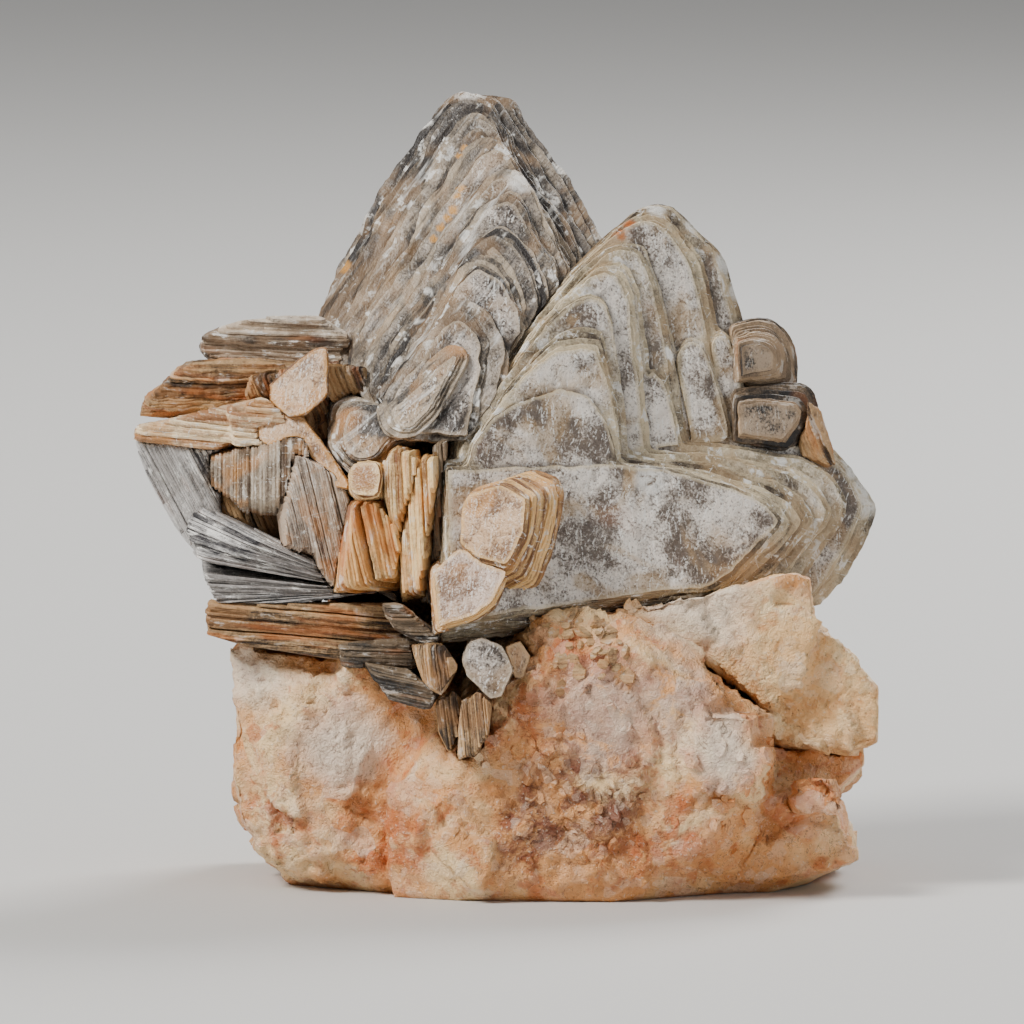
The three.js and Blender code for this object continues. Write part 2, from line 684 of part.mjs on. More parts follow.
// The feldspar that carries the mica: a left block, the rounded middle, the lower right,
// the mass behind the books, and a raised lump on the front.
function feldsparMatrix() {
  return [
    [
      ...ring(-18, [
      [-42.5, 37.5], [-43.5, 35], [-44, 15.5], [-43, 9], [-39, 3], [-28.5, 2], [-26, 35.5],
    ]),
      ...ring(-24, [
      [-33, 30], [-12.5, 27.5], [-10.5, 12], [-17, 1.5], [-28.5, 4], [-34.5, 15.5],
    ]),
      ...ring(22, [
      [-41, 35.5], [-42, 9], [-10.5, 4], [-10.5, 36],
    ]),
      ...level(0, [[-35, -10], [-20, -20], [-10, -24], [-10, 18], [-33, 14]]),
    ],
    [
      ...ring(-24, [
      [-26, 35.5], [-17, 35.5], [-9, 30], [-8.5, 18.5], [-17, 12], [-28.5, 18.5],
    ]),
      ...ring(10, [
      [-28.5, 38], [-9, 38], [-9, 12],
    ]),
    ],
    [
      ...ring(-34, [
      [0.5, 25], [8.5, 36], [21.5, 36], [33.5, 26], [39, 18.5], [31, 5], [15, -0.5],
      [-4.5, -0.5], [-12.5, 10.5],
    ]),
      ...ring(-29, [
      [-18.5, 14], [-6, 22.5], [5.5, 42], [18, 43], [31, 34], [41.5, 27], [42, 14],
      [37.5, 7], [24.5, -0.5], [-6, -2],
    ]),
      ...ring(26, [
      [-17, 38], [8.5, 44], [40.5, 38], [42, 5.5], [-14, 5.5],
    ]),
      ...level(0, [[-18, -26], [-8, -30], [17, -32], [34, -22], [34, 24], [-16, 26]]),
    ],
    [
      ...ring(-24, [
      [31, 12], [41.5, 14], [52.5, 12], [53.5, 6], [55, 3], [53.5, 2], [31, 1.5],
    ]),
      ...ring(18, [
      [31, 12], [54, 11.5], [55, 4], [31, 4],
    ]),
      ...level(0, [[22, -24], [42, -20], [48, -10], [46, 14], [24, 20]]),
    ],
    [
      ...ring(-16, [
      [31, 31.5], [40.5, 30], [54, 28], [57, 18.5], [51.5, 12], [39, 12],
    ]),
      ...ring(22, [
      [31, 38], [53.5, 34.5], [56, 15.5], [51.5, 9], [31, 12],
    ]),
    ],
    [
      ...ring(-37, [
      [32, 27], [38.5, 26], [40, 19], [38, 14], [31, 14], [28.5, 19],
    ]),
      ...ring(-26, [
      [30, 29], [42, 27.5], [42.5, 17], [41.5, 12], [29.5, 11.5], [24.5, 19],
    ]),
    ],
    [
      ...ring(0, [
      [-34.5, 34.5], [-28.5, 44], [-1, 50.5], [31, 50.5], [42, 44], [43.5, 31.5],
    ]),
      ...ring(24, [
      [-33, 28], [-26, 50.5], [-12.5, 60], [8.5, 60], [27.5, 54], [40.5, 41], [43, 28],
    ]),
      ...ring(32, [
      [-25, 30], [-20.5, 44], [-6, 53], [15, 52], [31, 44], [38, 30],
    ]),
      ...level(5, [[-28, 18], [36, 20], [28, 28], [-20, 28]]),
    ],
    [
      ...ring(12, [
      [-19.5, 50.5], [-17, 70], [-10.5, 75.5], [8.5, 76], [23, 71.5], [31, 50.5],
    ]),
      ...ring(27, [
      [-17, 50.5], [-13, 65], [-6, 70], [8.5, 70.5], [19, 65], [26, 50.5],
    ]),
    ],
  ];
}

// A cleaved feldspar ledge on the right, parted from the rest by an open seam.
function feldsparLedge() {
  return [
    [
      ...ring(-25, [
      [18.5, 43], [21.5, 44], [31, 45.5], [40.5, 47], [45.5, 48.5], [48, 47.5], [49, 41.5],
      [47, 30], [41.5, 27.5], [31, 34.5],
    ]),
      ...ring(20, [
      [23, 43], [31, 45.5], [46, 48], [49, 41], [47, 30], [31, 33],
    ]),
    ],
    [
      ...ring(-22, [
      [37.5, 38], [49.5, 41], [53.5, 35.5], [59, 30], [58, 25.5], [59, 21.5], [55, 20],
      [43, 21], [42, 27],
    ]),
      ...ring(22, [
      [37.5, 36], [49, 39.5], [54, 34], [57, 28], [56, 21], [43.5, 22],
    ]),
    ],
  ];
}

function feldsparBlock() {
  return [[
    ...ring(-33, [
      [45.5, 16], [47.5, 17], [51.5, 17], [53.5, 13], [51.5, 11.5], [46.5, 11], [45, 13],
    ]),
    ...ring(-22, [
      [44.5, 15], [52.5, 16], [53.5, 12.5], [51.5, 11], [45.5, 11],
    ]),
  ]];
}

// Every crystal, in the order in which each one makes room for those before it.
const CRYSTALS = [
  ['front_mica_book', MICA_SILVER, frontBook()],
  ['tall_mica_book', MICA_GREY, tallBook()],
  ['finger_mica_book', MICA_GREY, fingerBook()],
  ['hex_mica_book', MICA_GOLD, hexBook()],
  ['pale_mica_plate', MICA_SILVER, palePlate()],
  ['upright_mica_book_right', MICA_GOLD, rightUpright()],
  ['upright_mica_book_left', MICA_GOLD, leftUpright()],
  ['upright_mica_book_dark', MICA_DARK, darkUpright()],
  ['tan_mica_block', MICA_GOLD, tanBlock()],
  ['rusty_mica_book', MICA_RUST, rustyBook()],
  ['slanting_mica_slab', MICA_GOLD, slantingSlab()],
  ['comb_mica_book', MICA_SILVER, combBook()],
  ['leaf_mica_plate', MICA_GOLD, leafPlate()],
  ['bridge_mica_plate', MICA_GOLD, bridgePlate()],
  ['cream_mica_book', MICA_GOLD, creamBook()],
  ['shelf_mica_book', MICA_GREY, shelfBook()],
  ['ragged_mica_book', MICA_RUST, raggedBook()],
  ['side_mica_book', MICA_GREY, sideBook()],
  ['fan_mica_book', MICA_GREY, fanBook()],
  ['split_mica_book', MICA_RUST, splitBook()],
  ['inner_mica_book', MICA_GREY, innerBook()],
  ['round_side_mica_book', MICA_GREY, roundSideBook()],
  ['square_side_mica_book', MICA_GREY, squareSideBook()],
  ['rusty_mica_sliver', MICA_RUST, rustySliver()],
  ['small_hex_mica_book', MICA_SILVER,
    smallBook(-5, 12, -37, 9, [
      [-7, 35], [-6, 38], [-4, 38.5], [-1, 37], [1, 33.5], [-1, 29.5], [-2.5, 29],
      [-6, 32.5],
    ])],
  ['small_mica_prism', MICA_GOLD,
    smallBook(-25, 5, -37, 9, [
      [-7, 28.5], [-4.5, 30], [-2.5, 28], [-3, 23.5], [-5, 20], [-7.5, 19.5], [-7.5, 24],
    ])],
  ['small_mica_blade', MICA_SILVER,
    smallBook(10, 5, -36, 9, [
      [-11, 28.5], [-8.5, 30], [-6.5, 28], [-7, 24.5], [-9, 20.5], [-10.5, 23.5],
    ])],
  ['small_mica_book_left', MICA_GOLD,
    smallBook(-15, 18, -34, 9, [
      [-15, 37.5], [-10.5, 37.5], [-8, 34], [-10.5, 30], [-13, 31.5],
    ])],
  ['small_mica_book_right', MICA_GOLD,
    smallBook(25, 12, -35, 8, [
      [0, 37], [2, 38], [3.5, 35.5], [2.5, 32], [1, 32.5],
    ])],
  ['small_mica_book_slanting', MICA_DARK,
    smallBook(-10, 35, -31, 9, [
      [-22.5, 34.5], [-15.5, 33.5], [-11, 29.5], [-12.5, 27.5], [-18.5, 29],
    ])],
  ['dark_mica_splinter_upper', MICA_DARK,
    splinter(-34, 16, [
      [-19.5, 44], [-17, 44], [-10.5, 38.5], [-12.5, 37.5], [-18, 40.5],
    ], [
      [-19.5, 43], [-16.5, 43], [-10.5, 38.5], [-17, 39.5],
    ])],
  ['dark_mica_splinter_lower', MICA_DARK,
    splinter(-30, 16, [
      [-26.5, 37.5], [-14, 38.5], [-13, 36], [-15, 33.5], [-26, 34],
    ], [
      [-26, 37], [-13.5, 38], [-15.5, 34], [-25, 34.5],
    ])],
  ['feldspar_block', FELDSPAR_RUST, feldsparBlock()],
  ['feldspar_ledge', FELDSPAR_CREAM, feldsparLedge()],
  ['feldspar_matrix', FELDSPAR_CREAM, feldsparMatrix()],
];

// One solid for each crystal, clear of every crystal before it.
function growAll(crystals) {
  const grown = [];
  return crystals.map(([name, finish, lumps]) => {
    const whole = join(lumps);
    const box = whole.boundingBox();
    const near = grown.filter((other) => boxesMeet(other.boundingBox(), box));
    const cut = near.reduce((solid, other) => solid.subtract(other), whole);
    grown.push(join(lumps, GAP));
    return { name, finish, solid: clean(largest(cut)) };
  });
}

function toMesh({ name, finish, solid }) {
  const material = new THREE.MeshStandardMaterial({ ...finish, flatShading: true });
  const mesh = new THREE.Mesh(toGeometry(solid), material);
  mesh.name = name;
  return mesh;
}

const specimen = new THREE.Group();
specimen.add(...growAll(CRYSTALS).map(toMesh));

// The whole piece stands on z = 0 with its box centred over the origin.
const box = new THREE.Box3().setFromObject(specimen, true);
specimen.position.set(-(box.min.x + box.max.x) / 2, -(box.min.y + box.max.y) / 2, -box.min.z);

export default specimen;
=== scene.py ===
"""A muscovite mica specimen on feldspar: its books split into sheets, its feldspar broken and stained."""

import math
import random
from collections import namedtuple

import bpy
import numpy as np
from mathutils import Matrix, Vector, geometry, noise


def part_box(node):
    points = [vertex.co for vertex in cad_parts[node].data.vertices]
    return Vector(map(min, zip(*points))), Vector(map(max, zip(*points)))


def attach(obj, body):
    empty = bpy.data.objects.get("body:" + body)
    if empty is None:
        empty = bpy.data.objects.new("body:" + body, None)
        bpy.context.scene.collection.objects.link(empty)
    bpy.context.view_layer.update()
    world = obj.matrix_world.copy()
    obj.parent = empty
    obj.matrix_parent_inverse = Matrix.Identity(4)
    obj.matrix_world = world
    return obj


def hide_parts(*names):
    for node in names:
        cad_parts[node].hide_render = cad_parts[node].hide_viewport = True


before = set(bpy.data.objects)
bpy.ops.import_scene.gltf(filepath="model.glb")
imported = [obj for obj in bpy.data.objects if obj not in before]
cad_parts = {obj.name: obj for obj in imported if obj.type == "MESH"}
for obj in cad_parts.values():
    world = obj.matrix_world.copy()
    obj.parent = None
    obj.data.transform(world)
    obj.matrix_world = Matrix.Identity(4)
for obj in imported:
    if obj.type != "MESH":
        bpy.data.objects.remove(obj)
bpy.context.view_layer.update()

bl_info = {
    "name": "Mica specimen",
    "version": (1, 0, 0),
    "blender": (4, 5, 0),
    "location": "3D View > Sidebar > Specimen",
    "description": "Splits the mica books into sheets and weathers the feldspar",
    "category": "Add Mesh",
}

MM = 0.001
BODY = "root"
SIGHT = math.radians(6)  # how far down the camera looks


# ---------------------------------------------------------------- settings


class SheetSettings(bpy.types.PropertyGroup):
    """Sizes that every mica book shares, in mm."""

    spacing: bpy.props.FloatProperty(
        name="Edge spacing", description="Distance between points along a sheet's edge, in mm",
        default=0.85, min=0.3,
    )
    cover: bpy.props.FloatProperty(
        name="Gap cover", description="How far sheets grow to close the gap between books, in mm",
        default=0.12, min=0.0,
    )
    lip: bpy.props.FloatProperty(
        name="Lip", description="How far a sheet's upper edge is worn back, in mm",
        default=0.1, min=0.0,
    )
    grid: bpy.props.FloatProperty(
        name="Face grid", description="Spacing of the points on an open sheet face, in mm",
        default=0.95, min=0.3,
    )


class RockSettings(bpy.types.PropertyGroup):
    """Sizes of the feldspar."""

    voxel: bpy.props.FloatProperty(
        name="Voxel", description="Fineness of the feldspar's surface",
        default=0.00066, min=0.0004, subtype="DISTANCE", unit="LENGTH",
    )
    fracture: bpy.props.FloatProperty(
        name="Fracture size", description="Width of one broken facet, in mm",
        default=15.0, min=2.0,
    )
    depth: bpy.props.FloatProperty(
        name="Fracture depth", description="How far the facets tilt out of the surface, in mm",
        default=1.0, min=0.0,
    )


class StageSettings(bpy.types.PropertyGroup):
    """Camera, floor and lights."""

    distance: bpy.props.FloatProperty(
        name="Camera distance", description="From the camera to the middle of the view",
        default=2.4, min=0.5, subtype="DISTANCE", unit="LENGTH",
    )
    width: bpy.props.FloatProperty(
        name="View width", description="Width that the picture covers at the specimen",
        default=0.16384, min=0.05, subtype="DISTANCE", unit="LENGTH",
    )
    centre: bpy.props.FloatVectorProperty(
        name="View centre", description="The point that the camera looks at",
        default=(0.0008, 0.0, 0.0586), subtype="TRANSLATION", unit="LENGTH",
    )
    floor: bpy.props.FloatVectorProperty(
        name="Floor colour", description="Colour of the floor",
        default=(0.60, 0.59, 0.57), min=0.0, max=1.0, subtype="COLOR",
    )
    key: bpy.props.FloatProperty(
        name="Key light", description="Power of the main light", default=34.0, min=0.0,
        subtype="POWER", unit="POWER",
    )


# ---------------------------------------------------------------- node expressions


class Wire:
    """One output of a node, so that a pattern reads as an expression."""

    def __init__(self, tree, node, output):
        self.tree = tree
        self.node = node
        self.socket = node.outputs[output]

    def also(self, output):
        """Another output of the same node."""
        return Wire(self.tree, self.node, output)

    def _math(self, operation, *values, clamp=False):
        settings = {"operation": operation, "use_clamp": clamp}
        return self.tree.add("ShaderNodeMath", settings, dict(enumerate(values)))

    def __add__(self, other):
        return self._math("ADD", self, other)

    def __sub__(self, other):
        return self._math("SUBTRACT", self, other)

    def __mul__(self, other):
        return self._math("MULTIPLY", self, other)

    def __truediv__(self, other):
        return self._math("DIVIDE", self, other)

    def __rsub__(self, other):
        return self._math("SUBTRACT", other, self)

    __radd__ = __add__
    __rmul__ = __mul__

    def __abs__(self):
        return self._math("ABSOLUTE", self)

    def fraction(self):
        return self._math("FRACT", self)

    def most(self, other):
        return self._math("MAXIMUM", self, other)

    def clamped(self):
        return self._math("ADD", self, 0.0, clamp=True)

    def step(self, low, high):
        """Rises smoothly from 0 at low to 1 at high."""
        values = {0: self, 1: low, 2: high, 3: 0.0, 4: 1.0}
        return self.tree.add("ShaderNodeMapRange", {"interpolation_type": "SMOOTHSTEP"}, values)

    def _vector(self, operation, other, output=0):
        values = {0: self, 1: other if isinstance(other, Wire) else tuple(other)}
        return self.tree.add("ShaderNodeVectorMath", {"operation": operation}, values, output)

    def moved(self, vector):
        return self._vector("ADD", vector)

    def stretched(self, vector):
        return self._vector("MULTIPLY", vector)

    def along(self, direction):
        """How far a vector reaches along a direction."""
        return self._vector("DOT_PRODUCT", direction, output=1)

    def away(self, point):
        """How far a place is from a point."""
        return self._vector("DISTANCE", point, output=1)


class Tree:
    """A node tree that nodes are added to by type, settings and values."""

    def __init__(self, tree):
        self.nodes = tree.nodes
        self.links = tree.links

    def add(self, kind, settings=None, values=None, output=0):
        """Adds a node: its settings first, then the values or links of its sockets."""
        node = self.nodes.new(kind)
        for key, value in (settings or {}).items():
            setattr(node, key, value)
        for key, value in (values or {}).items():
            if isinstance(value, Wire):
                self.links.new(value.socket, node.inputs[key])
            else:
                node.inputs[key].default_value = value
        return Wire(self, node, output) if node.outputs else None


class Finish(Tree):
    """The node tree of one material."""

    def __init__(self, name):
        self.material = bpy.data.materials.new(name)
        self.material.use_nodes = True
        super().__init__(self.material.node_tree)
        self.shader = self.nodes["Principled BSDF"]

    def place(self):
        """Where the surface lies on the specimen, in mm."""
        metres = self.add("ShaderNodeTexCoord", output=3)
        return metres.stretched([1 / MM] * 3)

    def attribute(self, name, output=2):
        return self.add("ShaderNodeAttribute", {"attribute_name": name}, output=output)

    def cloud(self, vector, scale=1.0, detail=3.0, roughness=0.55, distortion=0.0):
        """Soft noise between 0 and 1."""
        values = {"Vector": vector, "Scale": scale, "Detail": detail}
        values |= {"Roughness": roughness, "Distortion": distortion}
        return self.add("ShaderNodeTexNoise", {}, values)

    def wobble(self, vector, scale, amount):
        """The same place, pushed about by noise."""
        values = {"Vector": vector, "Scale": scale, "Detail": 2.0}
        push = self.add("ShaderNodeTexNoise", {}, values, output=1)
        return vector.moved(push.moved([-0.5] * 3).stretched([amount] * 3))

    def cells(self, vector, scale, feature="F1", output=0):
        values = {"Vector": vector, "Scale": scale}
        return self.add("ShaderNodeTexVoronoi", {"feature": feature}, values, output)

    def mix(self, first, second, share):
        """Two colours mixed by a share from 0 to 1."""
        values = {0: share, 6: opaque(first), 7: opaque(second)}
        return self.add("ShaderNodeMix", {"data_type": "RGBA"}, values, output=2)

    def spots(self, place, spots):
        """One mask for several soft spots: each is x, y, z and a radius, in mm."""
        masks = [place.away(centre).step(radius, radius * 0.3) for *centre, radius in spots]
        total = masks[0]
        for mask in masks[1:]:
            total = total.most(mask)
        return total

    def bump(self, height, depth, strength, below=None):
        values = {"Strength": strength, "Distance": depth * MM, "Height": height}
        if below is not None:
            values["Normal"] = below
        return self.add("ShaderNodeBump", {}, values)

    def done(self, constants, wires):
        for key, value in constants.items():
            self.shader.inputs[key].default_value = value
        for key, wire in wires.items():
            self.links.new(wire.socket, self.shader.inputs[key])
        return self.material


def opaque(value):
    """A colour with its alpha, or a wire as it is."""
    return value if isinstance(value, Wire) else (*value, 1.0)


def paint(red, green, blue):
    """A colour named in display values, as the linear values that a shader needs."""
    return tuple((value / 255) ** 2.2 for value in (red, green, blue))


# ---------------------------------------------------------------- mica finish

# What a mica finish needs: the light and dark tones of its open faces, the light and dark tones
# of its sheets' edges (the dark one also paints the shade at the foot of each step and in the
# flutes' grooves), a warm tone in patches, its stain and how far that goes (0 to 1), the spots that
# are stained whatever else, how speckled it is and how strong its white fibres and painted glints
# are, its roughness, how pale its cracks are, the spots where highlights are painted, and the way
# its flutes run over its faces, whose light and shade are painted.
Mica = namedtuple(
    "Mica", "light dark edge shade warm stain stained spots speckle glint rough cracked pale flow",
    defaults=(0.0, (), ()),
)

RUST = paint(190, 104, 34)
OCHRE = paint(210, 150, 66)
# White of the fibres and cracks, and also the colour of the painted glints and highlights.
CRACK_WHITE_AND_HIGHLIGHT = paint(238, 236, 230)
CRACKS = ((18, 2.9), (78, 2.3), (138, 3.4))  # turn in degrees and spacing in mm


def mica_finish(name, look):
    """Mica: frosted and speckled on its open faces, streaked along the edges of its sheets."""
    tree = Finish(name)
    place = tree.place()
    lay = tree.attribute("lay", output=1)
    tread = tree.attribute("tread")
    opened = (tread * tree.attribute("width").step(1.0, 3.5)).most(tread - 1.0).clamped()
    tint = tree.attribute("tint")
    rim = tree.attribute("rim")
    foot = tree.attribute("foot")

    patches = tree.cloud(place, 0.14, detail=3.0, roughness=0.6)
    hues = tree.cloud(place, 0.10, detail=2.0, distortion=0.8)
    grain = tree.cloud(place, 2.6, detail=1.0, roughness=0.8)
    crackle = tree.cloud(place, 0.6, detail=3.0, roughness=0.8, distortion=0.6)
    across = tree.add(
        "ShaderNodeCombineXYZ", {},
        {0: lay.along((0.25, 0.43, 0.0)), 1: lay.along((-2.1, 1.2, 0.0)), 2: lay.along((0, 0, 0.5))},
    )
    scratch = tree.cloud(lay.stretched((2.4, 0.25, 0.5)), detail=1.0, roughness=0.7)
    scratch = scratch.most(tree.cloud(across, detail=1.0, roughness=0.7))
    lines = tree.cloud(lay.stretched((0.08, 0.08, 3.0)), detail=2.0, roughness=0.7)
    streaks = tree.cloud(lay.stretched((0.2, 0.2, 1.0)), detail=3.0, roughness=0.7)

    face = patches * 1.3 + crackle * 0.6 + grain * 0.55 + tint * 0.2
    face = tree.mix(look.dark, look.light, face.step(1.13, 1.50))
    face = tree.mix(face, look.warm, hues.step(0.50, 0.62) * 0.6)
    face = tree.mix(face, look.shade, grain.step(0.42, 0.26) * look.speckle * 0.5)
    face = tree.mix(face, look.shade, crackle.step(0.40, 0.28) * 0.5)
    fibres = scratch.step(0.60, 0.68) * grain.step(0.40, 0.55)
    face = tree.mix(face, CRACK_WHITE_AND_HIGHLIGHT, fibres * look.glint * 0.7)
    # Painted shade at the foot of each step, where the next sheet stands on this face.
    face = tree.mix(face, look.shade, foot.step(0.25, 0.9) * 0.75)

    edge = tint * 0.75 + lines * 0.5 + streaks * 0.9 + patches * 0.6 + grain * 0.4
    edge = tree.mix(look.shade, look.edge, edge.step(1.24, 1.86))
    edge = tree.mix(edge, look.warm, hues.step(0.48, 0.60) * 0.5)
    # Painted glints: white streaks along the sheets' edges, where the flanks catch the light.
    painted_glints = (streaks * 0.8 + crackle * 0.4).step(0.66, 0.74) * look.glint
    edge = tree.mix(edge, CRACK_WHITE_AND_HIGHLIGHT, painted_glints * 0.9)
    base = tree.mix(edge, face, opened)
    # Painted light and shade of the flutes: dark grooves and lit ridges, which have no bump of their own.
    if look.flow:
        run, rise = look.flow
        flow = tree.add(
            "ShaderNodeCombineXYZ", {},
            {
                0: lay.along((rise * 0.5, -run * 0.5, 0.0)),
                1: lay.along((run * 0.06, rise * 0.06, 0.0)),
                2: lay.along((0, 0, 0.2)),
            },
        )
        painted_flutes = tree.cloud(flow, detail=3.0, roughness=0.7)
        base = tree.mix(base, look.shade, painted_flutes.step(0.48, 0.34) * 0.7)
        base = tree.mix(base, CRACK_WHITE_AND_HIGHLIGHT, painted_flutes.step(0.56, 0.70) * 0.6)

    rust = tree.cloud(lay.stretched((0.09, 0.09, 0.5)), detail=2.0)
    stain = rust.step(0.66 - look.stained * 0.3, 0.78 - look.stained * 0.2) * look.stained
    if look.spots:
        stain = stain.most(tree.spots(tree.wobble(place, 0.8, 1.2), look.spots))
    base = tree.mix(base, look.stain, (stain * 0.85).clamped())
    # Painted highlights: white spots on the crests and rims, broken up by the crackle.
    if look.pale:
        pale = tree.spots(tree.wobble(place, 0.5, 2.5), look.pale) * crackle.step(0.30, 0.50)
        base = tree.mix(base, CRACK_WHITE_AND_HIGHLIGHT, pale * 0.85)

    if look.cracked:
        split = None
        for turn, width in CRACKS:
            turn = math.radians(turn)
            line = lay.along((math.cos(turn) / width, math.sin(turn) / width, 0)).fraction()
            line = abs(line - 0.5).step(0.03, 0.008)
            split = line if split is None else split.most(line)
        split = split * crackle.step(0.50, 0.6) * rim.step(0.1, 0.7)
        base = tree.mix(base, CRACK_WHITE_AND_HIGHLIGHT, split * look.cracked)
    base = tree.mix(base, look.edge, rim.step(0.55, 0.92) * opened * 0.55)

    height = crackle * 0.7 + grain * 0.3 + lines * (1 - opened) * 0.4
    wires = {
        "Base Color": base,
        "Roughness": (look.rough + crackle * 0.2 + (1 - opened) * 0.1).clamped(),
        "Normal": tree.bump(height, 0.32, 1.0),
    }
    return tree.done({"IOR": 1.58}, wires)


# ---------------------------------------------------------------- feldspar finish

# What a feldspar finish needs: five tones, and the spots where it is pale, rusty or red-brown.
Rock = namedtuple("Rock", "cream peach rust deep white grey pale rusty red glassy")


def rock_finish(name, look):
    """Feldspar: waxy cream to orange, chipped into small facets, with stained veins and grain."""
    tree = Finish(name)
    place = tree.place()
    bent = tree.wobble(place, 0.09, 9.0)
    clouds = tree.cloud(bent, 0.07, detail=2.0, roughness=0.65)
    veins = tree.cloud(bent, 0.22, detail=3.0, roughness=0.72)
    grain = tree.cloud(place, 1.4, detail=2.0, roughness=0.8)
    rough = tree.cloud(place, 0.05, detail=1.0).step(0.42, 0.58)
    red = tree.spots(bent, look.red)

    base = tree.mix(look.cream, look.peach, clouds.step(0.36, 0.56))
    base = tree.mix(base, look.rust, veins.step(0.50, 0.66) * 0.65)
    base = tree.mix(base, look.white, tree.spots(bent, look.pale) * 0.8)
    base = tree.mix(base, look.rust, tree.spots(bent, look.rusty) * veins.step(0.36, 0.54) * 0.7)
    base = tree.mix(base, look.grey, tree.spots(bent, look.glassy) * veins.step(0.34, 0.50) * 0.75)
    base = tree.mix(base, look.deep, red * veins.step(0.38, 0.60) * 0.85)

    height = grain * 0.7
    for size, tone, tilt in ((0.27, 0.30, 1.0), (0.62, 0.25, 0.0)):
        chip = place.stretched([size] * 3)
        cell = tree.cells(chip, 1.0, output="Color")
        facing_way = cell.moved([-0.5] * 3)
        if tilt:
            offset = chip.moved(cell.also("Position").stretched([-1] * 3))
            height = height + offset.along(facing_way) * tilt * rough.most(red)
        pale = cell.along((0.5, 0.5, 0.0))
        base = tree.mix(base, look.white, pale.step(0.55, 0.95) * tone * 0.9)
        base = tree.mix(base, look.deep, pale.step(0.44, 0.10) * tone * (0.5 + red * 1.3))
    base = tree.mix(base, look.deep, abs(veins - 0.5).step(0.010, 0.0) * rough * 0.6)
    base = tree.mix(base, look.deep, grain.step(0.42, 0.28) * 0.5)
    base = tree.mix(base, look.white, grain.step(0.58, 0.74) * 0.5)

    wires = {
        "Base Color": base,
        "Roughness": (0.34 + grain * 0.4).clamped(),
        "Normal": tree.bump(height, 0.75, 1.0),
    }
    return tree.done({"IOR": 1.53}, wires)


# ---------------------------------------------------------------- sections of a CAD solid


def cad_solid(node):
    """A node's merged points, in mm, and its triangles."""
    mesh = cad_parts[node].data
    points = np.zeros(len(mesh.vertices) * 3)
    mesh.vertices.foreach_get("co", points)
    points = np.round(points.reshape(-1, 3) / MM, 4)
    mesh.calc_loop_triangles()
    corners = np.zeros(len(mesh.loop_triangles) * 3, np.int32)
    mesh.loop_triangles.foreach_get("vertices", corners)
    merged, index = np.unique(points, axis=0, return_inverse=True)
    return merged, index.reshape(-1)[corners].reshape(-1, 3)


def cross_section(solid, height):
    """The loops where a solid's surface has a height of zero, given each point's height."""
    points, triangles = solid
    height = np.where(abs(height) < 1e-6, 1e-6, height)
    above = height > 0
    marks = above[triangles].sum(1)
    onward = {}
    for triangle in triangles[(marks > 0) & (marks < 3)].tolist():
        for first, second in zip(triangle, triangle[1:] + triangle[:1]):
            if above[first] and not above[second]:
                start = (min(first, second), max(first, second))
            if above[second] and not above[first]:
                end = (min(first, second), max(first, second))
        onward[start] = end
    loops = []
    while onward:
        first, here = next(iter(onward.items()))
        del onward[first]
        loop = [first]
        while here != first and here in onward:
            loop.append(here)
            here = onward.pop(here)
        edges = np.array(loop)
        low, high = height[edges[:, 0]], height[edges[:, 1]]
        share = (low / (low - high))[:, None]
        loops.append(points[edges[:, 0]] * (1 - share) + points[edges[:, 1]] * share)
    return loops


def signed_area(loop):
    x, y = loop[:, 0], loop[:, 1]
    return 0.5 * float(np.sum(x * np.roll(y, -1) - np.roll(x, -1) * y))


def even_points(loop, spacing):
    """A closed loop with points at an even spacing."""
    closed = np.vstack([loop, loop[:1]])
    steps = np.hypot(*np.diff(closed, axis=0).T)
    along = np.concatenate([[0], np.cumsum(steps)])
    count = max(10, round(along[-1] / spacing))
    wanted = np.linspace(0, along[-1], count, endpoint=False)
    return np.column_stack([np.interp(wanted, along, closed[:, i]) for i in (0, 1)])


def rounded(loop, radius, step=0.4):
    """A closed loop with its corners rounded."""
    fine = even_points(loop, step)
    reach = max(1, int(3 * radius / step))
    weights = np.exp(-0.5 * (np.arange(-reach, reach + 1) * step / radius) ** 2)
    weights /= weights.sum()
    wrapped = np.take(fine, np.arange(-reach, len(fine) + reach), axis=0, mode="wrap")
    return np.column_stack([np.convolve(wrapped[:, i], weights, "valid") for i in (0, 1)])


def outward(loop):
    """Unit vectors that point out of a closed loop that turns anticlockwise."""
    ahead = np.roll(loop, -1, axis=0) - np.roll(loop, 1, axis=0)
    length = np.maximum(np.hypot(*ahead.T), 1e-9)[:, None]
    return np.column_stack([ahead[:, 1], -ahead[:, 0]]) / length


def inside(points, loop):
    """Which points lie inside a closed loop."""
    x, y = points[:, 0][:, None], points[:, 1][:, None]
    ax, ay = loop[:, 0][None], loop[:, 1][None]
    bx, by = np.roll(ax, -1, axis=1), np.roll(ay, -1, axis=1)
    crosses = (ay > y) != (by > y)
    rise = np.where(crosses, by - ay, 1)
    return (crosses & (x < ax + (y - ay) / rise * (bx - ax))).sum(1) % 2 == 1


# ---------------------------------------------------------------- mica sheets

# How a book is split: the node, which way its sheets face (turned to the right and leaned back,
# in degrees), how thin and thick they are, how round their corners are, how far their edges
# wander, fray and stand out in packets, how rough their open faces are, how far the rim of each
# step is rounded (all in mm), and how often a slit is left open between packets (0 to 1).
Book = namedtuple(
    "Book", "node turn lean thin thick soften wander fray packet relief bevel slits",
    defaults=(0.3, 0.65, 0.5, 0.5, 0.12, 0.35, 0.2, 0.5, 0.0),
)


def facing(turn, lean):
    """The direction that a sheet faces."""
    a, b = math.radians(turn), math.radians(lean)
    return np.array([math.sin(a) * math.cos(b), -math.cos(a) * math.cos(b), math.sin(b)])


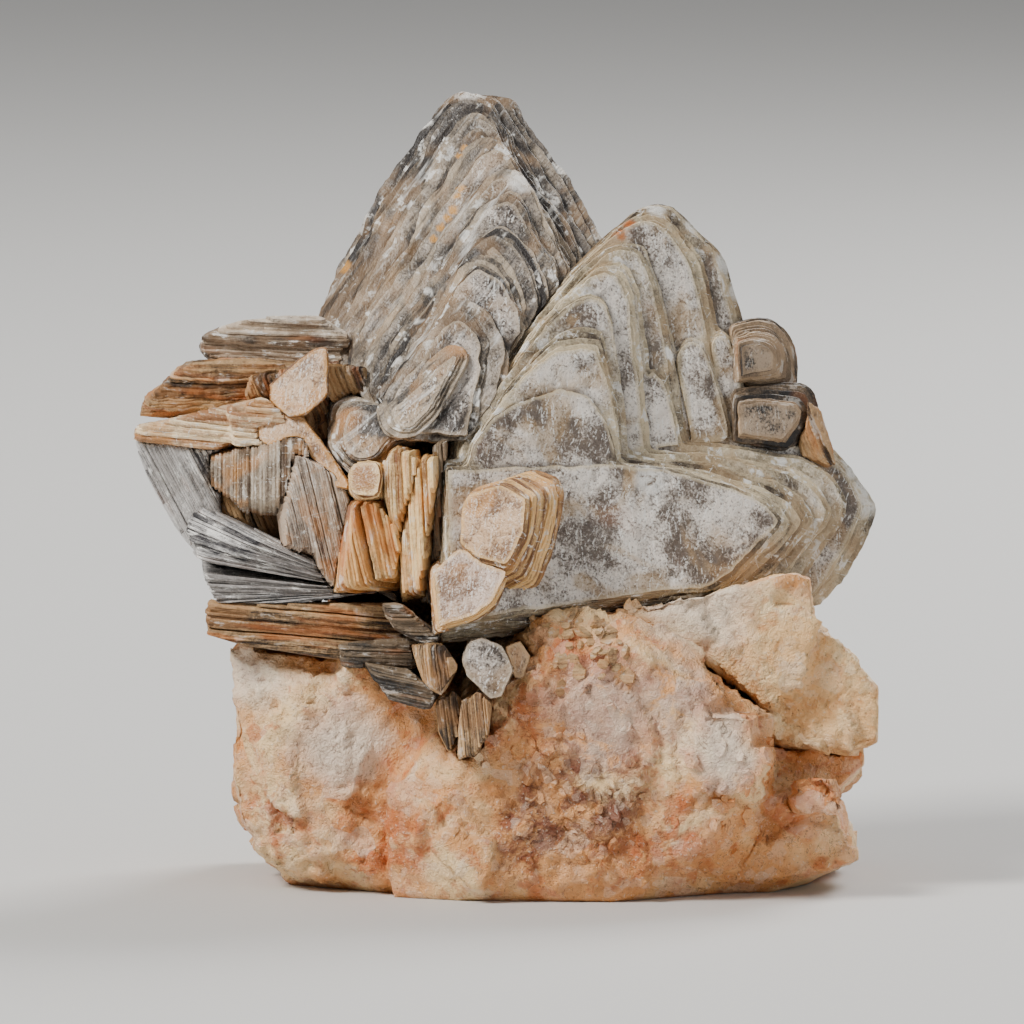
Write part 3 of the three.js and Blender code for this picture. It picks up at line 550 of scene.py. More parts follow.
class SheetStack:
    """Closed sheets, gathered into one mesh. Its points know their place in the book (lay), how
    near they are to their own sheet's edge (rim) and to the next sheet's (foot), and how wide the
    open strip is there (width); its faces know whether they face out of the book (tread) and
    which tone their sheet has (tint)."""

    def __init__(self):
        self.points = []
        self.lays = []
        self.rims = []
        self.feet = []
        self.widths = []
        self.count = 0
        self.faces = []
        self.treads = []
        self.tints = []

    def _points(self, points, lays, rims=1.0, feet=0.0, widths=0.0):
        first = self.count
        self.points.append(points)
        self.lays.append(lays)
        self.rims.append(np.broadcast_to(rims, len(points)))
        self.feet.append(np.broadcast_to(feet, len(points)))
        self.widths.append(np.broadcast_to(widths, len(points)))
        self.count += len(points)
        return first

    def _faces(self, faces, tread, tint):
        self.faces += faces
        self.treads += [tread] * len(faces)
        self.tints += [tint] * len(faces)

    def sheet(self, rings, tint, cap=None):
        """A closed sheet through rings from its back to its face: each is points and their lay."""
        size = len(rings[0][0])
        starts = [self._points(*ring) for ring in rings]
        around = [(i, (i + 1) % size) for i in range(size)]
        self._faces([tuple(range(starts[0] + size - 1, starts[0] - 1, -1))], 2.0, tint)
        for low, high in zip(starts, starts[1:]):
            self._faces([(low + i, low + j, high + j, high + i) for i, j in around], 0.0, tint)
        if cap is None:
            self._faces([tuple(range(starts[-1], starts[-1] + size))], 1.0, tint)
            return
        *inner, triangles = cap
        shift = self._points(*inner) - size
        self._faces(
            [tuple(i + (starts[-1] if i < size else shift) for i in face) for face in triangles],
            1.0, tint,
        )

    def build(self, name):
        mesh = bpy.data.meshes.new(name)
        mesh.from_pydata((np.vstack(self.points) * MM).tolist(), [], self.faces)
        layer = mesh.attributes.new("lay", "FLOAT_VECTOR", "POINT")
        layer.data.foreach_set("vector", np.vstack(self.lays).ravel())
        for key, domain, values in (
            ("rim", "POINT", np.concatenate(self.rims)),
            ("foot", "POINT", np.concatenate(self.feet)),
            ("width", "POINT", np.concatenate(self.widths)),
            ("tread", "FACE", self.treads),
            ("tint", "FACE", self.tints),
        ):
            layer = mesh.attributes.new(key, "FLOAT", domain)
            layer.data.foreach_set("value", values)
        return mesh


def sheet_levels(rng, low, high, book):
    """Each sheet's back, its face, how far its edge stands out, and its tone."""
    levels, here, stand, left, tone = [], low, 0.0, 0, 0.5
    while here < high - 0.5 * book.thin:
        thick = rng.uniform(book.thin, book.thick)
        jitter = rng.uniform(-0.3, 0.25) * book.packet
        if left == 0:
            left = rng.choice((2, 3, 3, 4, 5, 7))
            stand = rng.uniform(-0.8, 0.5) * book.packet
            tone = rng.random()
            if levels and rng.random() < book.slits:
                here += rng.uniform(0.3, 0.7) * book.thick
            elif levels:
                thick *= 0.5
                jitter -= 0.7 * book.packet
        top = min(high, here + thick)
        if high - top < 0.5 * book.thin:
            top = high
        levels.append((here, top, stand + jitter, 0.6 * tone + 0.4 * rng.random()))
        here, left = top, left - 1
    return levels


def rim_wear(levels, sections, bevel):
    """How far each sheet is worn back, because it lies near the top of a step."""
    areas = [sum(abs(signed_area(loop)) for loop in loops) for loops in sections]
    wear, top = [], levels[-1][1]
    for i in reversed(range(len(levels))):
        if i + 1 < len(levels) and areas[i + 1] < 0.94 * areas[i]:
            top = levels[i][1]
        near = max(0.0, 1 - (top - sum(levels[i][:2]) / 2) / max(bevel, 1e-6))
        wear.append(bevel * (1 - math.sqrt(1 - near * near)))
    return wear[::-1]


def worn_outlines(loops, book, settings, level, stand, shift):
    """The loops of one section, rounded, wandering and frayed."""
    found = []
    for flat in loops:
        if signed_area(flat) < 0:
            flat = flat[::-1]
        if signed_area(flat) < 2.0:
            continue
        flat = even_points(rounded(even_points(flat, 0.5), book.soften), settings.spacing)
        push = np.array([
            book.wander * noise.noise(Vector((x / 11, y / 11, level / 1.7)) + shift)
            + book.wander * 0.5 * noise.noise(Vector((x / 3.5, y / 3.5, level / 0.9)) + shift)
            + book.fray * noise.noise(Vector((x / 0.9, y / 0.9, level / 0.35)) + shift)
            for x, y in flat
        ]) + stand
        ways = outward(flat)
        for share in (1.0, 0.6, 0.2):
            moved = untangled(flat + ways * (push * share + settings.cover)[:, None])
            if moved is not None:
                found.append(moved)
                break
    return found


def untangled(flat):
    """A closed loop, smoothed until it doesn't cross itself."""
    for _ in range(6):
        lip = flat - outward(flat) * 0.15
        if crosses_nowhere(flat) and crosses_nowhere(lip):
            return flat
        flat = 0.5 * flat + 0.25 * (np.roll(flat, 1, axis=0) + np.roll(flat, -1, axis=0))
    return None


def crosses_nowhere(flat):
    order = list(range(len(flat)))
    found = geometry.delaunay_2d_cdt([Vector(p) for p in flat], [], [order], 1, 1e-5)
    return signed_area(flat) > 1.5 and len(found[0]) == len(flat)


def nearest(points, loops):
    """How far each point is from the nearest point of some loops."""
    if not loops:
        return np.full(len(points), 1e3)
    stops = np.vstack(loops)
    return np.min(np.hypot(*(points[:, None] - stops[None]).transpose(2, 0, 1)), axis=1)


def open_face(outline, above, book, floor, grid, place_on):
    """Points and triangles of the part of a sheet's face that the next sheet leaves open."""
    low, high = outline.min(0), outline.max(0)
    xs, ys = np.arange(low[0], high[0], grid), np.arange(low[1], high[1], grid)
    inner = np.array([(x, y + (i % 2) * grid / 2) for i, x in enumerate(xs) for y in ys])
    for loop, keep in [(outline, True)] + [(loop, False) for loop in above]:
        if len(inner):
            inner = inner[inside(inner, loop) == keep]
    if not len(inner):
        return None
    away = nearest(inner, [outline])
    inner, away = inner[away > grid * 0.55], away[away > grid * 0.55]
    if not len(inner):
        return None
    size = len(outline)
    flat = [Vector(p) for p in np.vstack([outline, inner])]
    found = geometry.delaunay_2d_cdt(flat, [], [list(range(size))], 1, 1e-5)
    if any(not source for source in found[3]):
        return None
    triangles = [tuple(found[3][i][0] for i in face) for face in found[2]]
    if len({i for face in triangles for i in face if i < size}) < size:
        return None
    lift = book.relief * np.array([pillow(p) for p in place_on(inner)]) * np.minimum(1, away / 1.5)
    near = nearest(inner, above)
    foot = np.exp(-near / 0.9)
    return inner, np.maximum(lift, floor), np.exp(-away / 1.2), foot, away + near, triangles


def pillow(point):
    """Height of the pillowy, crackled face of a sheet."""
    p = Vector(point)
    return (
        noise.noise(p / 5.5) + 0.6 * noise.noise(p / 2.2) + 0.35 * noise.noise(p / 0.9) + 0.3
    )


def stack_sheets(levels, sections, book, settings, shift, place_on, lay_on):
    """Closed sheets from the sections of a book at its levels."""
    wear = rim_wear(levels, sections, book.bevel)
    cut = [
        worn_outlines(loops, book, settings, (low + high) / 2, stand - worn, shift)
        for (low, high, stand, _), loops, worn in zip(levels, sections, wear)
    ]
    stack = SheetStack()
    for i, (low, high, _, tint) in enumerate(levels):
        above = cut[i + 1] if i + 1 < len(levels) else []
        for outline in cut[i]:
            lip = outline - outward(outline) * settings.lip
            shoulder = low + 0.62 * (high - low)
            widths = nearest(outline, above)
            rings = [
                (place_on(flat, level), lay_on(flat, level), 1.0, 0.0, widths)
                for flat, level in ((outline, low), (outline, shoulder), (lip, high))
            ]
            cap = None
            if widths.max() > 1.2:
                cap = open_face(
                    lip, above, book, -0.3 * (high - low), settings.grid,
                    lambda flat: place_on(flat, high),
                )
            if cap is not None:
                inner, lift, *rest = cap
                cap = (place_on(inner, high + lift[:, None]), lay_on(inner, high), *rest)
            stack.sheet(rings, tint, cap)
    return stack


def split_book(book, seed, settings):
    """Splits one CAD solid into flat sheets."""
    rng = random.Random(seed)
    shift = Vector([rng.uniform(0, 90) for _ in range(3)])
    points, triangles = cad_solid(book.node)
    axis = facing(book.turn, book.lean)
    up = np.array([0, 0, 1]) if abs(axis[2]) < 0.9 else np.array([0, 1, 0])
    right = np.cross(up, axis)
    right /= np.linalg.norm(right)
    axes = np.array([right, np.cross(axis, right)])
    heights = points @ axis
    levels = sheet_levels(rng, heights.min(), heights.max(), book)
    sections = [
        [loop @ axes.T for loop in cross_section((points, triangles), heights - (low + high) / 2)]
        for low, high, *_ in levels
    ]

    def place_on(flat, level):
        return flat @ axes + axis * level

    def lay_on(flat, level):
        return np.column_stack([flat, np.full(len(flat), level)]) + np.array(shift)

    return stack_sheets(levels, sections, book, settings, shift, place_on, lay_on)


def split_fan(book, hinge, first, last, seed, settings):
    """Splits one CAD solid into leaves that spread from a hinge, between two angles in degrees."""
    rng = random.Random(seed)
    shift = Vector([rng.uniform(0, 90) for _ in range(3)])
    points, triangles = cad_solid(book.node)
    hinge = np.array(hinge)
    levels = sheet_levels(rng, first, last, book)
    sections = []
    for low, high, *_ in levels:
        turn = math.radians((low + high) / 2)
        ahead = np.array([-math.cos(turn), 0, math.sin(turn)])
        heights = (points - hinge) @ np.array([math.sin(turn), 0, math.cos(turn)])
        loops = cross_section((points, triangles), heights)
        flats = [np.column_stack([(loop - hinge) @ ahead, -loop[:, 1]]) for loop in loops]
        sections.append([flat for flat in flats if flat[:, 0].mean() > 0])

    def place_on(flat, level):
        turn = np.radians(np.broadcast_to(level, (len(flat), 1))[:, 0])
        out = flat[:, 0]
        turned = np.column_stack([-out * np.cos(turn), -flat[:, 1], out * np.sin(turn)])
        return hinge * (1, 0, 1) + turned

    def lay_on(flat, level):
        rise = np.radians(np.full(len(flat), level)) * 30
        return np.column_stack([flat, rise]) + np.array(shift)

    return stack_sheets(levels, sections, book, settings, shift, place_on, lay_on)


# ---------------------------------------------------------------- feldspar


def broken_rock(node, seed, settings):
    """One CAD solid of feldspar with its surface broken into facets, grooves and grain."""
    points, triangles = cad_solid(node)
    mesh = bpy.data.meshes.new(node + "_rough")
    mesh.from_pydata((points * MM).tolist(), [], triangles.tolist())
    rough = bpy.data.objects.new(node + "_rough", mesh)
    bpy.context.scene.collection.objects.link(rough)
    remesh = rough.modifiers.new("Voxels", "REMESH")
    remesh.mode = "VOXEL"
    remesh.voxel_size = settings.voxel
    remesh.use_smooth_shade = True
    mesh = plain_mesh(rough)

    count = len(mesh.vertices)
    places = np.zeros(count * 3)
    mesh.vertices.foreach_get("co", places)
    places = places.reshape(-1, 3) / MM
    normals = np.array([vertex.normal for vertex in mesh.vertices])
    shift = Vector((seed * 7.3, seed * 3.1, seed * 5.7))
    heights = np.array([rock_height(Vector(p) + shift, settings) for p in places])
    low, high = (np.array(corner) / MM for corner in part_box(node))
    heights *= np.clip((places[:, 2] - 0.2) / 2.5, 0, 1)
    places = np.clip(places + normals * heights[:, None], low, high)
    mesh.vertices.foreach_set("co", (places * MM).ravel())
    mesh.update()
    return mesh


def rock_height(place, settings):
    """How far the broken surface stands out of the smooth one, in mm."""
    bent = place + noise.noise_vector(place / 12.0) * 4.0
    rough = min(1.0, max(0.0, 0.5 + 1.6 * noise.noise(place / 18.0)))
    height = -0.2 + 0.2 * noise.fractal(place / 2.0, 0.8, 2.1, 4) * (0.5 + rough)
    for size, depth in ((1.0, 1.0), (0.42, 0.45), (0.16, 0.3 * (0.3 + rough))):
        size *= settings.fracture
        _, centres = noise.voronoi(bent / size)
        tilt = noise.cell_vector(centres[0] * 7.0)
        height += settings.depth * depth * (bent / size - centres[0]).dot(tilt) * 1.8
    return height


def plain_mesh(source):
    """The evaluated mesh of an object, which is then removed."""
    graph = bpy.context.evaluated_depsgraph_get()
    mesh = bpy.data.meshes.new_from_object(source.evaluated_get(graph), depsgraph=graph)
    old = source.data
    bpy.data.objects.remove(source)
    bpy.data.meshes.remove(old)
    return mesh


# ---------------------------------------------------------------- scattered crumbs


def scatter_tree(name, shape, material):
    """Scatters small closed shapes over a surface near a place, lying roughly along it."""
    group = bpy.data.node_groups.new(name, "GeometryNodeTree")
    sockets = {}
    for label, kind in (
        ("Geometry", "Geometry"), ("Centre", "Vector"), ("Reach", "Float"), ("Density", "Float"),
        ("Smallest", "Vector"), ("Largest", "Vector"), ("Turn", "Float"), ("Seed", "Int"),
    ):
        socket = group.interface.new_socket(
            label, in_out="INPUT", socket_type="NodeSocket" + kind
        )
        sockets[label] = socket.identifier
    group.interface.new_socket("Geometry", in_out="OUTPUT", socket_type="NodeSocketGeometry")
    tree = Tree(group)
    given = tree.add("NodeGroupInput", output="Geometry")
    place = tree.add("GeometryNodeInputPosition")
    near = place._vector("DISTANCE", given.also("Centre"), output=1)
    share = tree.add(
        "ShaderNodeMapRange", {"interpolation_type": "SMOOTHSTEP"},
        {0: near, 1: given.also("Reach"), 2: 0.0, 3: 0.0, 4: 1.0},
    )
    spread = tree.add(
        "GeometryNodeDistributePointsOnFaces", {},
        {"Mesh": given, "Density": share * given.also("Density"), "Seed": given.also("Seed")},
    )
    kind = {"data_type": "FLOAT_VECTOR"}
    size = tree.add(
        "FunctionNodeRandomValue", kind,
        {0: given.also("Smallest"), 1: given.also("Largest"), "Seed": given.also("Seed")},
    )
    tip = tree.add("ShaderNodeMath", {"operation": "MULTIPLY"}, {0: given.also("Turn"), 1: -1.0})
    twist = tree.add(
        "FunctionNodeRandomValue", kind,
        {
            0: tree.add("ShaderNodeCombineXYZ", {}, {0: tip, 1: tip, 2: -math.pi}),
            1: tree.add(
                "ShaderNodeCombineXYZ", {},
                {0: given.also("Turn"), 1: given.also("Turn"), 2: math.pi},
            ),
        },
    )
    turned = tree.add(
        "FunctionNodeRotateRotation", {"rotation_space": "LOCAL"},
        {0: spread.also("Rotation"), 1: tree.add("FunctionNodeEulerToRotation", {}, {0: twist})},
    )
    placed = tree.add(
        "GeometryNodeInstanceOnPoints", {},
        {"Points": spread, "Instance": shape(tree), "Rotation": turned, "Scale": size},
    )
    real = tree.add("GeometryNodeRealizeInstances", {}, {"Geometry": placed})
    named = real
    for label, kind, value in (("tread", "FLOAT", 1.0), ("tint", "FLOAT", 0.6)):
        named = tree.add(
            "GeometryNodeStoreNamedAttribute", {"data_type": kind, "domain": "POINT"},
            {"Geometry": named, "Name": label, "Value": value},
        )
    where = place._vector("MULTIPLY", (1 / MM,) * 3)
    named = tree.add(
        "GeometryNodeStoreNamedAttribute", {"data_type": "FLOAT_VECTOR", "domain": "POINT"},
        {"Geometry": named, "Name": "lay", "Value": where},
    )
    real = tree.add("GeometryNodeRealizeInstances", {}, {"Geometry": named})
    finished = tree.add("GeometryNodeSetMaterial", {}, {"Geometry": real, "Material": material})
    tree.add("NodeGroupOutput", {}, {"Geometry": finished})
    return group, sockets


def flake(tree):
    """A thin six-sided flake, one unit across and thick."""
    return tree.add(
        "GeometryNodeMeshCylinder", {"fill_type": "NGON"},
        {"Vertices": 6, "Radius": 0.5, "Depth": 1.0},
    )


def scatter(name, base, tree, values):
    """A plain mesh of flakes over a base mesh. The base is left alone."""
    group, sockets = tree
    holder = bpy.data.objects.new(name + "_ground", base.copy())
    bpy.context.scene.collection.objects.link(holder)
    modifier = holder.modifiers.new(name, "NODES")
    modifier.node_group = group
    for label, value in values.items():
        modifier[sockets[label]] = value
    mesh = plain_mesh(holder)
    if not mesh.polygons:
        raise RuntimeError(f"{name} has no flakes")
    return mesh


# ---------------------------------------------------------------- pieces


def make_piece(name, mesh, material, slot, nodes=()):
    """An object at the origin that stands for its CAD nodes."""
    if not mesh.polygons:
        raise RuntimeError(f"{name} is empty")
    piece = bpy.data.objects.new(name, mesh)
    bpy.context.scene.collection.objects.link(piece)
    mesh.name = name
    mesh.materials.clear()
    mesh.materials.append(material)
    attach(piece, BODY)
    if nodes:
        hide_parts(*nodes)
    return piece


SILVER = Mica(
    paint(228, 219, 208), paint(100, 88, 78), paint(216, 198, 164), paint(58, 45, 30),
    paint(172, 142, 102), RUST, 0.14, (), 1.0, 1.0, 0.32, 0.8,
)
GREY = Mica(
    paint(198, 186, 174), paint(72, 63, 56), paint(188, 170, 146), paint(36, 29, 24),
    paint(156, 126, 94), RUST, 0.2, (), 1.0, 1.0, 0.34,
)
GOLD = Mica(
    paint(248, 212, 158), paint(158, 110, 62), paint(252, 214, 150), paint(124, 76, 34),
    paint(232, 158, 82), RUST, 0.3, (), 0.6, 0.6, 0.34,
)
BROWN = Mica(
    paint(192, 158, 122), paint(80, 62, 46), paint(204, 164, 116), paint(52, 38, 25),
    paint(164, 116, 70), RUST, 0.4, (), 0.8, 0.35, 0.42,
)
DARK = Mica(
    paint(134, 118, 100), paint(46, 42, 38), paint(134, 114, 90), paint(28, 24, 21),
    paint(104, 84, 62), RUST, 0.3, (), 0.6, 0.4, 0.38,
)
PALE = Mica(
    paint(216, 178, 140), paint(120, 88, 62), paint(242, 196, 130), paint(112, 74, 40),
    paint(206, 148, 88), OCHRE, 0.3, (), 0.8, 0.7, 0.32, 0.8,
)
BLUE = Mica(
    paint(202, 200, 198), paint(80, 78, 80), paint(208, 204, 200), paint(42, 40, 43),
    paint(140, 132, 126), RUST, 0.15, (), 0.6, 1.0, 0.34,
)

# Marks that lie in one place: x, y, z and radius, in mm.
TALL_STAINS = (
    (-6.7, 13.3, 115.8, 0.9), (-7.4, 12.5, 114.6, 1.0), (-7.4, 7.8, 109.8, 1.2),
    (-8.0, 7.2, 108.7, 1.0), (-8.6, 5.9, 106.6, 1.1), (-9.6, 5.2, 105.4, 1.1),
    (-10.6, 4.4, 104.0, 1.1), (-11.7, 3.3, 102.2, 0.9), (-25.9, 7.5, 97.4, 1.6),
)
# Painted highlights: the crest, and white glints along the left flank.
TALL_HIGHLIGHTS = (
    (-5.9, 22.8, 123.9, 3.0), (-10.7, -1.1, 99.1, 1.2), (-12.3, -5.0, 94.7, 1.3),
    (-14.2, -8.2, 90.2, 1.3), (-17.1, -13.3, 84.3, 1.1), (2.1, 7.3, 111.1, 3.0),
)
FRONT_STAINS = ((18.1, 1.6, 103.3, 1.6), (19.6, 3.4, 104.4, 1.4), (15.0, -13.0, 88.0, 1.2))
# Painted highlights on the crest, the right rim, the right tip and the brilliant silver face, and one
# pale patch on the low plate.
FRONT_HIGHLIGHTS = (
    (23.7, 7.1, 106.9, 2.6), (29.3, 9.5, 103.6, 2.2), (34.4, 10.1, 97.6, 2.4),
    (36.5, 10.5, 93.1, 2.2), (56.8, 6.5, 61.3, 2.6), (57.8, 5.6, 59.0, 2.6),
    (54.9, 6.8, 64.5, 2.4), (22.9, -17.5, 65.4, 4.0), (8.0, -14.0, 72.0, 6.0),
)
FINGER_STAINS = ((-7.5, -18.1, 88.0, 4.0), (-26.0, -20.0, 76.0, 4.0))


class SpecimenBooks:
    """Splits a group of mica books into sheets."""

    bl_options = {"REGISTER", "UNDO"}
    books = ()
    seed = 1

    def execute(self, context):
        settings = context.scene.mica_sheets
        for i, (name, book, look, slot) in enumerate(self.books):
            mesh = split_book(book, self.seed * 100 + i, settings).build(name)
            finish = bpy.data.materials.get(look[0]) or mica_finish(*look)
            make_piece(name, mesh, finish, slot, [book.node])
        return {"FINISHED"}


class SPECIMEN_OT_tall_book(SpecimenBooks, bpy.types.Operator):
    """Make the tall book at the back, and the finger that leans on it"""

    bl_idname = "specimen.tall_book"
    bl_label = "Tall book"
    seed = 1
    books = (
        ("tall_sheets",
         Book("tall_mica_book", 0, 30, 0.28, 0.6, 0.5, 1.2, 0.22, 1.0, 0.35, 0.6),
         ("tall_mica",
          GREY._replace(spots=TALL_STAINS, pale=TALL_HIGHLIGHTS, stain=OCHRE, flow=(0.56, 0.83))),
         "mica_grey"),
        ("finger_sheets",
         Book("finger_mica_book", -8, 32, 0.25, 0.5, 0.8, 0.5, 0.16, 0.4, 0.3, 2.4),
         ("finger_mica",
          GREY._replace(spots=FINGER_STAINS, light=paint(186, 162, 134), warm=paint(168, 124, 76),
                        stain=paint(176, 124, 70), flow=(0.72, 0.69))),
         "mica_grey"),
    )


class SPECIMEN_OT_front_book(SpecimenBooks, bpy.types.Operator):
    """Make the broad book in front, with its peak and its wing"""

    bl_idname = "specimen.front_book"
    bl_label = "Front book"
    seed = 2
    books = (
        ("front_sheets",
         Book("front_mica_book", 22, 15, 0.26, 0.58, 0.3, 0.5, 0.2, 0.6, 0.4, 0.5),
         ("front_mica", SILVER._replace(spots=FRONT_STAINS, pale=FRONT_HIGHLIGHTS)), "mica_silver"),
    )


class SPECIMEN_OT_six_sided_books(SpecimenBooks, bpy.types.Operator):
    """Make the six-sided books in the middle"""

    bl_idname = "specimen.six_sided_books"
    bl_label = "Six-sided books"
    seed = 3
    books = (
        ("hex_sheets",
         Book("hex_mica_book", -30, 12, 0.25, 0.5, 0.1, 0.35, 0.14, 0.25, 0.25, 0.25),
         ("hex_mica", PALE), "mica_gold"),
        ("pale_sheets",
         Book("pale_mica_plate", -12, 25, 0.25, 0.5, 0.1, 0.35, 0.14, 0.2, 0.25, 0.25),
         ("pale_mica", PALE._replace(light=paint(210, 182, 162))), "mica_silver"),
        ("small_hex_sheets",
         Book("small_hex_mica_book", -5, 12, 0.25, 0.5, 0.1, 0.35, 0.14, 0.25, 0.25, 0.25),
         ("small_hex_mica", GREY), "mica_silver"),
        ("tan_block_sheets",
         Book("tan_mica_block", -25, 18, 0.25, 0.5, 0.1, 0.35, 0.14, 0.3, 0.25, 0.25),
         ("tan_block_mica", GOLD), "mica_gold"),
    )


class SPECIMEN_OT_upright_books(SpecimenBooks, bpy.types.Operator):
    """Make the books that stand upright beside the tall ones"""

    bl_idname = "specimen.upright_books"
    bl_label = "Upright books"
    seed = 4
    books = (
        ("upright_sheets_right",
         Book("upright_mica_book_right", 75, 6, 0.3, 0.7, 0.3, 0.4, 0.15, 0.5, 0.2, 0.2, 0.4),
         ("upright_mica", GOLD), "mica_gold"),
        ("upright_sheets_left",
         Book("upright_mica_book_left", 75, 6, 0.3, 0.7, 0.3, 0.4, 0.15, 0.5, 0.2, 0.2, 0.4),
         ("upright_mica", GOLD), "mica_gold"),
        ("upright_sheets_dark",
         Book("upright_mica_book_dark", 75, 6, 0.3, 0.6, 0.3, 0.4, 0.15, 0.4, 0.2, 0.2, 0.3),
         ("upright_mica_dark", DARK), "mica_dark"),
        ("rusty_sheets",
         Book("rusty_mica_book", 58, 12, 0.3, 0.7, 0.3, 0.5, 0.2, 0.6, 0.2, 0.2, 0.4),
         ("rusty_mica", GOLD._replace(stained=0.8)), "mica_rust"),
        ("slab_sheets",
         Book("slanting_mica_slab", 108, 12, 0.25, 0.5, 0.3, 0.5, 0.3, 0.4, 0.2, 0.2, 0.2),
         ("slab_mica", PALE._replace(edge=paint(210, 196, 180), shade=paint(96, 80, 70))),
         "mica_gold"),
    )


class SPECIMEN_OT_left_books(SpecimenBooks, bpy.types.Operator):
    """Make the crowd of books on the left"""

    bl_idname = "specimen.left_books"
    bl_label = "Left books"
    seed = 5
    books = (
        ("shelf_sheets",
         Book("shelf_mica_book", 8, 69, 0.3, 0.7, 0.8, 0.6, 0.2, 0.5, 0.2, 0.8),
         ("shelf_mica",
          GREY._replace(stained=0.25, edge=paint(232, 216, 194), shade=paint(70, 58, 48))),
         "mica_grey"),
        ("ragged_sheets",
         Book("ragged_mica_book", 0, 66, 0.3, 0.7, 0.4, 1.0, 0.5, 0.8, 0.2, 0.2, 0.3),
         ("ragged_mica", BROWN._replace(stained=0.6)), "mica_rust"),
        ("cream_sheets",
         Book("cream_mica_book", 18, 72, 0.3, 0.6, 0.4, 0.5, 0.25, 0.4, 0.2, 0.5),
         ("cream_mica", PALE._replace(edge=paint(255, 232, 190), shade=paint(164, 114, 76))),
         "mica_gold"),
        ("side_sheets",
         Book("side_mica_book", 103, 27, 0.3, 0.6, 0.5, 0.4, 0.15, 0.35, 0.2, 0.2),
         ("side_mica", BLUE), "mica_grey"),
        ("comb_sheets",
         Book("comb_mica_book", 90, 0, 0.4, 0.7, 0.4, 0.2, 0.1, 0.35, 0.2, 0.2),
         ("comb_mica", PALE._replace(edge=paint(200, 186, 166), shade=paint(92, 74, 58))),
         "mica_silver"),
        ("leaf_sheets",
         Book("leaf_mica_plate", -12, 28, 0.25, 0.5, 0.1, 0.35, 0.14, 0.3, 0.25, 0.25),
         ("leaf_mica", PALE._replace(edge=paint(206, 150, 80))), "mica_gold"),
        ("bridge_sheets",
         Book("bridge_mica_plate", -6, 30, 0.25, 0.5, 0.1, 0.35, 0.14, 0.3, 0.25, 0.25),
         ("leaf_mica", PALE), "mica_gold"),
        ("inner_sheets",
         Book("inner_mica_book", 60, 20, 0.3, 0.7, 0.5, 0.5, 0.2, 0.5, 0.2, 0.2),
         ("inner_mica", BROWN), "mica_grey"),
    )


class SPECIMEN_OT_fan_and_split_books(SpecimenBooks, bpy.types.Operator):
    """Make the book that spreads like a fan, and the split book and splinters under it"""

    bl_idname = "specimen.fan_and_split_books"
    bl_label = "Fan and split books"
    seed = 6
    books = (
        ("split_sheets",
         Book("split_mica_book", 22, 77, 0.3, 0.6, 0.4, 0.5, 0.2, 0.6, 0.2, 0.2, 0.5),
         ("split_mica", BROWN._replace(stained=0.6)), "mica_rust"),
        ("splinter_sheets_upper",
         Book("dark_mica_splinter_upper", 10, 75, 0.25, 0.5, 0.3, 0.3, 0.2, 0.4, 0.2, 0.2, 0.2),
         ("splinter_mica", DARK), "mica_dark"),
        ("splinter_sheets_lower",
         Book("dark_mica_splinter_lower", 10, 75, 0.25, 0.5, 0.3, 0.3, 0.2, 0.4, 0.2, 0.2, 0.2),
         ("splinter_mica", DARK), "mica_dark"),
    )

    def execute(self, context):
        settings = context.scene.mica_sheets
        fan = Book("fan_mica_book", 0, 90, 0.5, 1.0, 0.4, 0.5, 0.2, 0.5, 0.2, 0.0)
        mesh = split_fan(fan, (-20.3, 0, 48.5), -8, 50, 61, settings).build("fan_sheets")
        make_piece("fan_sheets", mesh, mica_finish("fan_mica", BLUE), "mica_grey", [fan.node])
        return super().execute(context)


class SPECIMEN_OT_small_books(SpecimenBooks, bpy.types.Operator):
    """Make the books on the right, and the small ones where the mica meets the feldspar"""

    bl_idname = "specimen.small_books"
    bl_label = "Right and small books"
    seed = 7
    books = (
        ("round_side_sheets",
         Book("round_side_mica_book", 35, 10, 0.3, 0.6, 0.7, 0.5, 0.2, 0.5, 0.2, 2.2),
         ("side_books_mica",
          DARK._replace(light=paint(176, 154, 130), edge=paint(176, 148, 116), stained=0.35)),
         "mica_grey"),
        ("square_side_sheets",
         Book("square_side_mica_book", 28, 12, 0.3, 0.6, 0.6, 0.5, 0.2, 0.5, 0.2, 1.2),
         ("side_books_mica", DARK._replace(light=paint(160, 148, 138), edge=paint(176, 148, 116))),
         "mica_grey"),
        ("sliver_sheets",
         Book("rusty_mica_sliver", 28, 12, 0.25, 0.5, 0.3, 0.4, 0.2, 0.4, 0.2, 1.2),
         ("sliver_mica", BROWN), "mica_rust"),
        ("prism_sheets",
         Book("small_mica_prism", 70, 8, 0.25, 0.5, 0.15, 0.3, 0.1, 0.3, 0.15, 0.2),
         ("small_mica", BROWN._replace(stained=0.25)), "mica_gold"),
        ("blade_sheets",
         Book("small_mica_blade", 64, 8, 0.25, 0.5, 0.15, 0.3, 0.1, 0.3, 0.15, 0.2),
         ("small_mica", BROWN), "mica_silver"),
        ("small_sheets_left",
         Book("small_mica_book_left", 40, 20, 0.25, 0.5, 0.15, 0.4, 0.2, 0.4, 0.15, 0.2),
         ("small_mica", BROWN), "mica_gold"),
        ("small_sheets_right",
         Book("small_mica_book_right", 25, 12, 0.25, 0.5, 0.1, 0.35, 0.14, 0.3, 0.25, 0.25),
         ("small_mica", BROWN), "mica_gold"),
        ("small_sheets_slanting",
         Book("small_mica_book_slanting", 10, 68, 0.25, 0.5, 0.15, 0.4, 0.2, 0.4, 0.15, 0.2),
         ("small_mica_dark", DARK), "mica_dark"),
    )


